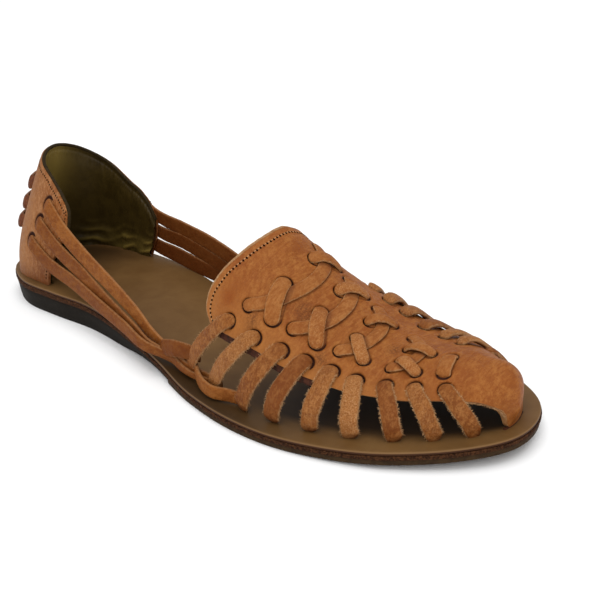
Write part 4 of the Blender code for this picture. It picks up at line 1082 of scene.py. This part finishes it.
# the cut edge turns in under the skin along both sides and the throat
inner = vampGrid(vamp["rows"], vamp["columns"], -vamp["liningDepth"])[0]
throatTurn = np.stack([inner[0], inner[0] * 0.5 + surface[0] * 0.5])
throatTurn = np.pad(throatTurn, ((0, 0), (2, 2), (0, 0)), mode="edge")
sheet = np.concatenate([throatTurn, turnedIn(surface, inner, 0.55)])
rows, columns = sheet.shape[:2]
cutEdge = np.ones((rows, columns))
cutEdge[3:, 3:-3] = 0.0
fields = dict(slot=slotField, patch=patch, contactShade=contactShade * 0.75, paintedLight=paintedLight, rubbed=rubbed)
fields = {name: padded(field, 2, 0) for name, field in fields.items()}
meshPiece("vamp", sheet.reshape(-1, 3), gridFaces(rows, columns), finish["vampTan"], ["upper"],
          dict(fields, edge=cutEdge))
# the vamp's inner face, near black: painted shade inside it
under = vampGrid(vamp["liningRows"], vamp["liningColumns"], -vamp["liningDepth"])[0]
meshPiece("vampLining", under.reshape(-1, 3), gridFaces(*under.shape[:2], flip=True), finish["insideShade"],
          ["upper"])

# the lining's pale cut edge, which shows behind the throat
throatLine = surface[0] + unit(surface[0] - surface[4]) * 0.55 - normal[0] * 0.95
joinRibbons("throatLining", [ribbon(throatLine, normal[0], 1.3, 0.8, 0.3, 0.3, seed=seeds["throatLining"],
                                    fray=0.08, square=3.0, step=0.5)], finish["rawEdge"], ["upper"])

# the facing under the vamp's outer edge, seen between the first four straps, darkened with painted shade
facingY = np.linspace(163.0, 205.0, 90)
facingReach = smooth(column(vamp["edge"], "y"), column(vamp["edge"], "lateral"), facingY)
joinRibbons("vampFacing", [ribbon(lastPoint(facingY, facingReach + 0.012, -0.9),
                                  outward(lastPoint, facingY, facingReach, 0.0), 3.0, 0.7, 0.5, 0.5,
                                  seed=seeds["facing"], fray=0.12, square=3.0, step=0.6)],
            finish["facingAndShadow"], ["upper"])

# painted shadow: a dark ribbon where the toe's lobe meets the footbed
shadowLineStart, outerShadowLineStart = 253.8, 255.9
shadowLineY = shadowLineStart + (toeY - 0.05 - shadowLineStart) * np.sin(np.linspace(0.0, np.pi / 2, 60))
outerY = shadowLineY[shadowLineY > outerShadowLineStart]
shadowLine = np.concatenate([lastPoint(outerY, np.ones_like(outerY), -0.3),
                       lastPoint(shadowLineY, -np.ones_like(shadowLineY), -0.3)[::-1]])
shadowLine[:, 2] = footbedTop(shadowLine[:, 1]) + 0.14
joinRibbons("toeShadowLine", [ribbon(shadowLine, np.tile((0.0, 0.0, 1.0), (len(shadowLine), 1)), 1.1, 0.3, 0.4, 0.4,
                               seed=seeds["toeShadowLine"], fray=0.1, square=3.0, step=0.4)],
            finish["facingAndShadow"], ["upper"])

# the raw edge of the toe's arch, pale and frayed
archRun = (gridY[:, -1] > 243.5) & (gridY[:, -1] < 256.0)
archDown = unit(surface[:, -1] - surface[:, -5])
archLine = surface[:, -1] * 0.5 + inner[:, -1] * 0.5 + archDown * 0.12
archEdge = ribbon(archLine[archRun], normal[:, -1][archRun], 0.5, vamp["liningDepth"], 0.4, 0.4,
                  seed=seeds["arch"], fray=0.14, square=2.6, step=0.3)
joinRibbons("archEdge", [archEdge], finish["rawEdge"], ["upper"])
joinRibbons("sideStraps", sideParts, finish["strapTan"], ["upper"])
joinRibbons("underStrips", underParts, finish["weaveTan"], ["upper"])
joinRibbons("overStrips", overParts, finish["weaveTan"], ["upper"])
joinRibbons("toeBar", [barPart], finish["weaveTan"], ["upper"])


def fibres(name, parts, perEdge, longest, thin=0.05):
    # slivers out of the cut edges: each grows sideways, turned at random along and up, and bends at 0.55
    # of its length
    pick = np.random.default_rng(11)
    points = []
    for part in parts:
        path, side, up, half = part["path"], part["side"], part["up"], part["half"]
        along = unit(np.gradient(path, axis=0))
        for sign in (-1, 1):
            index = (pick.uniform(0.1, 0.97, perEdge) * (len(path) - 1)).astype(int)
            root = (path[index] + side[index] * (sign * (half[index] - thin))[:, None]
                    + up[index] * pick.uniform(-0.6, 0.6, (perEdge, 1)))
            grow = (side[index] * sign + up[index] * pick.uniform(-0.3, 0.9, (perEdge, 1))
                    + along[index] * pick.uniform(-1.2, 1.2, (perEdge, 1)))
            length = pick.uniform(0.25, longest, (perEdge, 1)) ** 1.3
            bend = root + unit(grow) * length * 0.55
            tip = bend + unit(grow + along[index] * pick.uniform(-1, 1, (perEdge, 1))) * length * 0.45
            across = unit(np.cross(grow, up[index] + 0.01)) * thin
            narrow = across * 0.8
            points.append(np.stack([root - across, root + across, bend + narrow, bend - narrow, tip], axis=1))
    points = np.concatenate(points)
    faces = np.array([(0, 1, 2), (0, 2, 3), (3, 2, 4)])[None] + np.arange(len(points))[:, None, None] * 5
    meshPiece(name, points.reshape(-1, 3), faces.reshape(-1, 3), finish["thread"], ["upper"])


print("fibres")
fibres("archFibres", [archEdge], 90, 0.7)
fibres("strapFibres", sideParts, 130, 1.0)


# Quarter straps, which tie the cup to the front. First the stretch over the cup, by place and height; then
# the free stretch, by x, y and height over the footbed; last the stretch between the side straps, by y,
# height and distance from the last. The upper one runs inside the first side strap, outside the second and
# ends behind the third; the other two run outside the first and end behind the second. Widths go from the
# cup to the front.

quarter = dict(
    thick=1.4,
    overCup=0.75,               # of its middle over the cup's wall
    sunk=1.3, sinkReach=4.5,    # of its end in the cup's slot
    floorGap=0.1,
    normalReach=20.0,           # length of its normal when the turning is spread along the path
    steps=60,
    lateral=(
        dict(onCup=((0.66, 34.9), (0.78, 31.4), (0.93, 27.0)),
             free=((24.9, 78.0, 18.4), (28.0, 97.0, 15.2), (30.6, 116.0, 10.8), (32.4, 127.0, 7.4)),
             woven=((134.0, 5.2, 3.0), (140.5, 4.4, 0.2), (147.0, 4.6, -2.4), (153.0, 4.4, -1.0),
                    (158.5, 3.9, 1.2), (164.0, 3.4, 2.4), (169.5, 3.1, 1.8), (174.0, 3.0, -0.8),
                    (178.5, 2.9, -2.4)),
             widths=(6.2, 6.6, 6.3, 5.8, 5.4, 5.0, 4.6)),
        dict(onCup=((0.60, 26.8), (0.74, 23.4), (0.93, 19.4)),
             free=((26.8, 76.0, 12.6), (30.0, 98.0, 7.9), (33.0, 116.0, 6.2), (35.1, 129.0, 4.6)),
             woven=((140.0, 3.0, 2.0), (147.0, 3.0, 0.9), (154.0, 2.9, -0.8), (161.0, 2.9, -2.4),
                    (168.0, 2.9, -2.4)),
             widths=(6.0, 6.2, 5.8, 5.3, 4.8, 4.4, 4.2)),
        dict(onCup=((0.545, 18.2), (0.69, 15.0), (0.90, 11.6)),
             free=((28.0, 70.0, 8.0), (31.1, 90.0, 6.4), (34.7, 113.0, 5.9), (37.0, 129.0, 5.2)),
             woven=((140.0, 3.6, 3.0), (147.0, 3.0, 2.3), (153.0, 2.7, 1.0), (158.5, 2.6, -0.8),
                    (163.0, 2.6, -2.2)),
             widths=(5.8, 6.0, 6.1, 6.0, 5.9, 5.7, 5.5, 5.3, 5.0, 4.3, 3.2, 2.4, 2.0))),
    medial=(
        dict(onCup=((0.68, 30.0), (0.80, 26.0), (0.93, 21.6)),
             free=((-26.4, 76.0, 18.0), (-24.6, 96.0, 17.2), (-23.6, 113.0, 14.8), (-24.2, 124.0, 11.0)),
             woven=((133.0, 5.6, 1.6), (139.5, 4.6, -0.6), (145.0, 4.6, -2.4), (150.5, 4.4, -1.0),
                    (155.0, 3.9, 1.0), (159.5, 3.4, 1.8), (165.0, 3.1, 1.2), (169.5, 3.0, -0.8),
                    (174.0, 2.9, -2.4)),
             widths=(5.6, 6.6, 7.2, 7.2, 6.4, 5.4, 4.8)),
        dict(onCup=((0.62, 22.0), (0.76, 18.0), (0.94, 13.6)),
             free=((-26.6, 76.0, 11.6), (-25.2, 96.0, 9.8), (-24.8, 113.0, 7.2), (-25.4, 125.0, 4.6)),
             woven=((135.0, 3.0, 1.6), (142.0, 3.0, 0.8), (149.0, 2.9, -0.8), (156.0, 2.9, -2.4),
                    (163.0, 2.9, -2.4)),
             widths=(5.0, 6.4, 7.2, 7.0, 6.2, 5.0, 4.4)),
        dict(onCup=((0.56, 14.6), (0.70, 10.4), (0.90, 6.6)),
             free=((-26.2, 72.0, 4.4), (-25.6, 90.0, 3.3), (-25.8, 111.0, 3.0), (-26.8, 125.0, 2.9)),
             woven=((135.0, 2.9, 2.9), (142.0, 2.9, 2.3), (147.5, 2.9, 0.6)),
             widths=(5.0, 6.6, 7.6, 7.6, 6.8, 5.4, 5.0))))

# the tongue that wraps the outer straps where they reach the first side strap, by y, height and distance
tongue = dict(thick=1.5, widths=(5.8, 6.4, 6.2, 5.4),
              rows=((134.6, 5.6, 4.2), (139.5, 7.6, 4.3), (144.5, 9.2, 3.4), (149.5, 9.8, 1.2),
                    (155.0, 10.0, -1.8)))


def quarterPath(strap, side):
    # the three stretches as one smooth line, with normals that turn evenly from the cup's to the last's
    place, height = np.array(strap["onCup"]).T
    onCup = cupPoint(place * side, height, quarter["overCup"])
    cupNormals = outward(cupPoint, place * side, height, quarter["overCup"])
    free = np.array(strap["free"])
    free[:, 2] += footbedTop(free[:, 1])
    y, height, distance = np.array(strap["woven"]).T
    reach = reachAtHeight(y, height) * side
    woven = lastPoint(y, reach, distance)
    wovenNormals = outward(lastPoint, y, reach, 0.0)
    share = np.linspace(0, 1, len(free) + 2)[1:-1]
    freeNormals = unit(np.outer(1 - share, cupNormals[-1]) + np.outer(share, wovenNormals[0]))
    normals = np.concatenate([cupNormals, freeNormals, wovenNormals])
    line = np.concatenate([onCup, free, woven])
    both = resample(np.concatenate([line, normals * quarter["normalReach"]], axis=1), quarter["steps"])
    return both[:, :3], unit(both[:, 3:])


print("quarter straps")
quarterParts, cupSlots = [], []
for side, straps, seed in ((1, quarter["lateral"], seeds["quarter"]),
                           (-1, quarter["medial"], seeds["innerQuarter"])):
    for number, strap in enumerate(straps):
        path, up = quarterPath(strap, side)
        quarterParts.append(ribbon(path, up, strap["widths"], quarter["thick"], 1.0, 0.0,
                                   seed=seed + number, fray=0.06, arch=0.08, floorGap=quarter["floorGap"],
                                   sinkStart=quarter["sunk"], sinkReach=quarter["sinkReach"]))
        cupSlots.append(slotAt(path - up[0] * quarter["overCup"], up, strap["widths"][0] / 2, 1.0))
rowY, rowHeight, rowDistance = np.array(tongue["rows"]).T
tongueY = np.linspace(rowY[0], rowY[-1], 30)
tongueReach = reachAtHeight(tongueY, np.interp(tongueY, rowY, rowHeight))
quarterParts.append(ribbon(lastPoint(tongueY, tongueReach, np.interp(tongueY, rowY, rowDistance)),
                           outward(lastPoint, tongueY, tongueReach, 0.0), tongue["widths"], tongue["thick"],
                           1.0, 0.0, seed=seeds["tongue"], fray=0.06, arch=0.35, square=2.8,
                           floorGap=quarter["floorGap"]))
joinRibbons("quarterStraps", quarterParts, finish["quarterTan"], ["upper"])


# Heel cup

cupFace = dict(rows=130, columns=400, foot=0.15, slotDepth=1.3, slotBreadth=1.0, slotOut=0.45,
               innerShare=0.45)     # depth of the sheet's inner edge, as a share of the wall
cupInside = dict(rows=90, columns=260, foot=0.1, gather=0.6, wrinkle=0.5, pleat=0.16, seamDepth=0.35,
                 wrinkleHeight=3.0, pleatBelowRim=3.6, seamBelowRim=2.4)
binding = dict(width=1.5, thick=1.2, steps=500)
# straps over the back: height over the footbed at the back and at both ends, and place of the ends
backStrap = dict(width=6.6, thick=2.1, root=-1.0, rise=2.5, rows=((39.5, 38.0, 0.30), (30.8, 29.4, 0.31),
                                                                  (22.4, 21.2, 0.32)))


def cupPlaces(count):
    # places along the cup, closer together towards both front edges: sin(angle) / sin(spread)
    return np.sin(np.linspace(-cup["spread"], cup["spread"], count)) / np.sin(cup["spread"])


def cupGrid(rows, columns, foot):
    # places along the cup, and heights from the foot up to the rim
    place = cupPlaces(columns + 1)[None, :]
    height = foot + np.linspace(0.0, 1.0, rows + 1)[:, None] * (rimHeight(place) - foot)
    return np.broadcast_to(place, height.shape), height


def flattened(vectors):
    # the same with nothing up or down
    return vectors * (1.0, 1.0, 0.0)


print("heel cup")
place, height = cupGrid(cupFace["rows"], cupFace["columns"], cupFace["foot"])
cupSkin = cupPoint(place, height, 0.0)
cupNormal = gridNormals(cupSkin, flattened(cupSkin - cupCentre))
breadth, out = cupFace["slotBreadth"], cupFace["slotOut"]
# dark crescents round the quarter straps' slots: painted shade, and a groove
cupSlot = np.max([slotGroove(cupSkin, slot, breadth, out)[0] for slot in cupSlots], axis=0)
# paler round the back of the cup: painted sheen
cupPaintedLight = 0.95 * (1 - ease(np.abs(place), 0.3, 0.85)) * (1 - 0.4 * ease(height, 30.0, 46.0))
cupShade = np.max([0.55 * (1 - ease(height, 0.0, 10.0)), 0.3 * (1 - ease(np.abs(place), 0.25, 0.62)),
                   0.6 * (1 - ease(height, 2.0, 22.0)) * ease(place, 0.5, 0.95)], axis=0)
cupRelief = 0.18 * noise(cupSkin, 0.12, 21, 2) - cupSlot * cupFace["slotDepth"]
cupOuter = cupSkin + cupNormal * cupRelief[..., None]
cupInner = cupPoint(place, height, -cup["wall"] * cupFace["innerShare"])
rimTurn = np.stack([cupInner[-1] * 0.5 + cupOuter[-1] * 0.5, cupInner[-1]])
cupSheet = np.concatenate([turnedIn(cupOuter, cupInner, 0.5),
                           np.pad(rimTurn, ((0, 0), (2, 2), (0, 0)), mode="edge")])
fields = dict(slot=cupSlot, contactShade=cupShade, paintedLight=cupPaintedLight, rubbed=np.zeros_like(cupPaintedLight))
meshPiece("heelCup", cupSheet.reshape(-1, 3), gridFaces(*cupSheet.shape[:2], flip=True), finish["cupTan"],
          ["heel_counter"], {name: padded(field, 0, 2) for name, field in fields.items()})

# the lining: slack wrinkles at its foot, gathers above them, fine pleats and a stitched dent under the rim
place, height = cupGrid(cupInside["rows"], cupInside["columns"], cupInside["foot"])
rise = np.linspace(0.0, 1.0, cupInside["rows"] + 1)[:, None]
lining = cupPoint(place, height, -cup["wall"] * (1 - 0.4 * ease(rise, 0.8, 1.0)))
liningNormal = gridNormals(lining, flattened(cupCentre - lining))
around = place * 60
fromRim = rimHeight(place) - height
sag = height * 1.25 + around * 0.16 + 1.6 * np.sin(around * 0.19) + 0.8 * np.sin(around * 0.47 + height * 0.3)
wrinkles = np.sin(sag) * bell(height - cupInside["wrinkleHeight"], 6.5)
wrinkles *= 0.6 + 0.4 * np.sin(around * 0.31 + 1.0)
gathers = noise(np.stack([around * 0.5, height * 0.25, around * 0], axis=-1), 1.0, 31, 3) * bell(height, 14)
pleats = np.sin(around * 3.1 + 1.5 * np.sin(around * 0.9)) * bell(fromRim - cupInside["pleatBelowRim"], 2.6)
dent = bell(fromRim - cupInside["seamBelowRim"], 0.5)
liningRelief = (cupInside["wrinkle"] * wrinkles + cupInside["gather"] * gathers + cupInside["pleat"] * pleats
                + 0.25 * noise(lining, 0.12, 33, 2) - cupInside["seamDepth"] * dent)
lit = (bell(place - 0.12, 0.20) * (0.4 + 0.6 * ease(height, 5.0, 35.0))
       + 0.25 * bell(height - 5.0, 4.0) * ease(-place, 0.3, 0.6)
       + 0.5 * bell(place - 0.25, 0.18) * ease(height, 20.0, 45.0)
       + 0.9 * np.clip(wrinkles, 0, 1) * ease(-place, 0.0, 0.4))
lining += liningNormal * liningRelief[..., None]
meshPiece("cupLining", lining.reshape(-1, 3), gridFaces(*lining.shape[:2]), finish["cupLining"],
          ["heel_counter"], dict(lit=np.clip(lit, 0, 1)))

# binding along the rim
place = cupPlaces(binding["steps"])
path = cupPoint(place, rimHeight(place) - 0.1, -cup["wall"] / 2)
up = unit(path - cupPoint(place, rimHeight(place) - 2.0, -cup["wall"] / 2))
joinRibbons("rimBinding", [ribbon(path, up, binding["width"], binding["thick"], 0.5, 0.5,
                                  seed=seeds["binding"], fray=0.05, square=2.4, step=0.5)],
            finish["rimBinding"], ["heel_counter"])

# each back strap rises out of the cup's wall at one end and goes back in at the other
backParts = []
t = np.linspace(-1.0, 1.0, 40)
for number, (middle, end, reach) in enumerate(backStrap["rows"]):
    height = middle + (end - middle) * t * t
    path = cupPoint(t * reach, height, backStrap["root"] + backStrap["rise"] * ease(1 - np.abs(t), 0.0, 0.14))
    backParts.append(ribbon(path, outward(cupPoint, t * reach, height, 0.0), backStrap["width"],
                            backStrap["thick"], seed=seeds["backStrap"] + number, fray=0.05, arch=0.25,
                            square=2.8))
# their darker leather is painted shade
joinRibbons("backStraps", backParts, finish["shadedBackTan"], ["heel_counter"])


# Stitches

stitch = dict(
    throatRow=7,                # the row of the vamp's grid that the stitches follow
    throatPitch=1.45, cupPitch=1.5,
    holeLift=0.06,              # of a hole over the leather
    throatHole=(0.36, 0.46, 0.07),      # half length, half width and height
    throatThread=(0.42, 0.17, 0.14), threadAside=0.25,
    cupHole=(0.42, 0.42, 0.05),
    underRim=1.8,               # of the cup's holes
    frontPlace=0.955)           # of the holes along the cup's front edge


def alongPath(path, values, pitch, ahead=0.0):
    # values at an even pitch along a path
    length = spacing(path)
    at = np.arange(pitch, length[-1] - pitch / 2, pitch) + ahead
    return np.stack([np.interp(at, length, values[:, axis]) for axis in range(3)], axis=-1)


def domes(name, centres, aheads, ups, size, material, nodes):
    # a low dome of three rings for each centre: cos(angle) and sin(angle) of its half length and half width
    halfLength, halfWidth, high = size
    turn = np.linspace(0, 2 * np.pi, 8, endpoint=False)
    angle = np.concatenate([turn, turn, turn[:1]])
    rise, wide = np.repeat((0.0, 0.55, 1.0), (8, 8, 1)), np.repeat((1.0, 0.8, 0.0), (8, 8, 1))
    sides = unit(np.cross(aheads, ups))
    points = centres[:, None] + aheads[:, None] * (np.cos(angle) * halfLength * wide)[:, None]
    points += sides[:, None] * (np.sin(angle) * halfWidth * wide)[:, None]
    points += ups[:, None] * (rise * high)[:, None]
    a = np.arange(8)
    b = (a + 1) % 8
    faces = np.stack([a, 8 + a, b, b, 8 + a, 8 + b, 8 + a, a * 0 + 16, 8 + b], axis=1).reshape(-1, 3)
    faces = faces[None] + np.arange(len(centres))[:, None, None] * len(angle)
    meshPiece(name, points.reshape(-1, 3), faces.reshape(-1, 3), material, nodes)


print("stitches")
path, pitch = surface[stitch["throatRow"]], stitch["throatPitch"]
here = alongPath(path, path, pitch)
ahead = unit(alongPath(path, path, pitch, 0.1) - here)
top = unit(alongPath(path, normal[stitch["throatRow"]], pitch))
# dark domes over the throat's holes: painted shade
domes("throatHoles", here + top * stitch["holeLift"], ahead, top, stitch["throatHole"],
      finish["pinholeShade"], ["upper"])
aside = unit(np.cross(ahead, top))[:-1] * stitch["threadAside"]
domes("throatThread", (here[:-1] + here[1:]) / 2 + aside, ahead[:-1], top[:-1], stitch["throatThread"],
      finish["thread"], ["upper"])

# the cup's pinholes, dark domes of painted shade: under the rim and down the front edge, and again by the
# foot
holes, aheads, tops = [], [], []
for side in (1, -1):
    rimAt = np.linspace(0.30, 0.93, 70) * side
    underRim = cupPoint(rimAt, rimHeight(rimAt) - stitch["underRim"], 0.05)
    frontAt = side * stitch["frontPlace"]
    downTo = np.linspace(rimHeight(side * 0.90) - stitch["underRim"], 21.0, 50)
    down = cupPoint(np.full(50, frontAt), downTo, 0.05)
    foot = cupPoint(np.full(20, frontAt), np.linspace(9.0, 1.5, 20), 0.05)
    for run in (np.concatenate([underRim, down]), foot):
        here = alongPath(run, run, stitch["cupPitch"])
        ahead = unit(alongPath(run, run, stitch["cupPitch"], 0.1) - here)
        nearest = ((here[:, None, :] - cupOuter.reshape(-1, 3)[None]) ** 2).sum(axis=-1).argmin(axis=1)
        top = cupNormal.reshape(-1, 3)[nearest]
        holes.append(cupOuter.reshape(-1, 3)[nearest] + top * stitch["holeLift"])
        aheads.append(unit(ahead - top * np.sum(ahead * top, axis=-1, keepdims=True)))
        tops.append(top)
domes("cupPinholes", *(np.concatenate(parts) for parts in (holes, aheads, tops)), stitch["cupHole"],
      finish["pinholeShade"], ["heel_counter"])


# Camera, floor and light

view = dict(azimuth=134.993, elevation=22.094, roll=-2.505, target=(-23.901, 147.905, 15.0), distance=359.301,
            sensor=36.0, focalPixels=920.664, imageWidth=600)
studio = dict(floorSize=6.0, floorTone=0.98, floorRoughness=0.9, world=0.74,
              # power, angle or size, place, point it looks at
              sun=(1.25, 0.9, (0.15, 0.1, 0.9), (0, 0, 0)),
              softbox=(2.3, 0.5, (0.7, 0.55, 0.6), (0, 0, 0.02)))

print("stage")
azimuth, elevation, roll = np.radians((view["azimuth"], view["elevation"], view["roll"]))
level, rise = np.cos(elevation), np.sin(elevation)
back = np.array([np.sin(azimuth) * level, -np.cos(azimuth) * level, rise])
right = unit(np.cross(-back, (0.0, 0.0, 1.0)))
upward = np.cross(right, -back)
right, upward = np.cos(roll) * right + np.sin(roll) * upward, -np.sin(roll) * right + np.cos(roll) * upward
camera = bpy.data.cameras.new("camera")
camera.sensor_width = view["sensor"]
camera.lens = view["sensor"] * view["focalPixels"] / view["imageWidth"]
camera.clip_start = 0.01
viewer = bpy.data.objects.new("camera", camera)
at = toWorld(np.array(view["target"]) + back * view["distance"])
viewer.matrix_world = Matrix([*np.column_stack([right, upward, back, at]).tolist(), [0, 0, 0, 1]])
bpy.context.scene.collection.objects.link(viewer)
bpy.context.scene.camera = viewer

size = studio["floorSize"]
floorMesh = bpy.data.meshes.new("floor")
corners = [(-size, -size, 0), (size, -size, 0), (size, size, 0), (-size, size, 0)]
floorMesh.from_pydata(corners, [], [(0, 1, 2, 3)])
floor = bpy.data.objects.new("floor", floorMesh)
bpy.context.scene.collection.objects.link(floor)
floorPaint = bpy.data.materials.new("floor")
floorPaint.use_nodes = True
floorShader = floorPaint.node_tree.nodes["Principled BSDF"]
floorShader.inputs["Base Color"].default_value = (*[studio["floorTone"]] * 3, 1)
floorShader.inputs["Roughness"].default_value = studio["floorRoughness"]
floorMesh.materials.append(floorPaint)


def softLight(name, kind, power, size, at, towards):
    # size in metres for an area, in radians for a sun
    lamp = bpy.data.lights.new(name, kind)
    lamp.energy = power
    setattr(lamp, "angle" if kind == "SUN" else "size", size)
    item = bpy.data.objects.new(name, lamp)
    item.location = at
    item.rotation_euler = (Vector(towards) - Vector(at)).to_track_quat("-Z", "Y").to_euler()
    bpy.context.scene.collection.objects.link(item)


softLight("over", "SUN", *studio["sun"])
softLight("key", "AREA", *studio["softbox"])
world = bpy.data.worlds.new("world")
world.use_nodes = True
world.node_tree.nodes["Background"].inputs["Color"].default_value = (1, 1, 1, 1)
world.node_tree.nodes["Background"].inputs["Strength"].default_value = studio["world"]
bpy.context.scene.world = world
bpy.context.scene.view_settings.view_transform = "Standard"
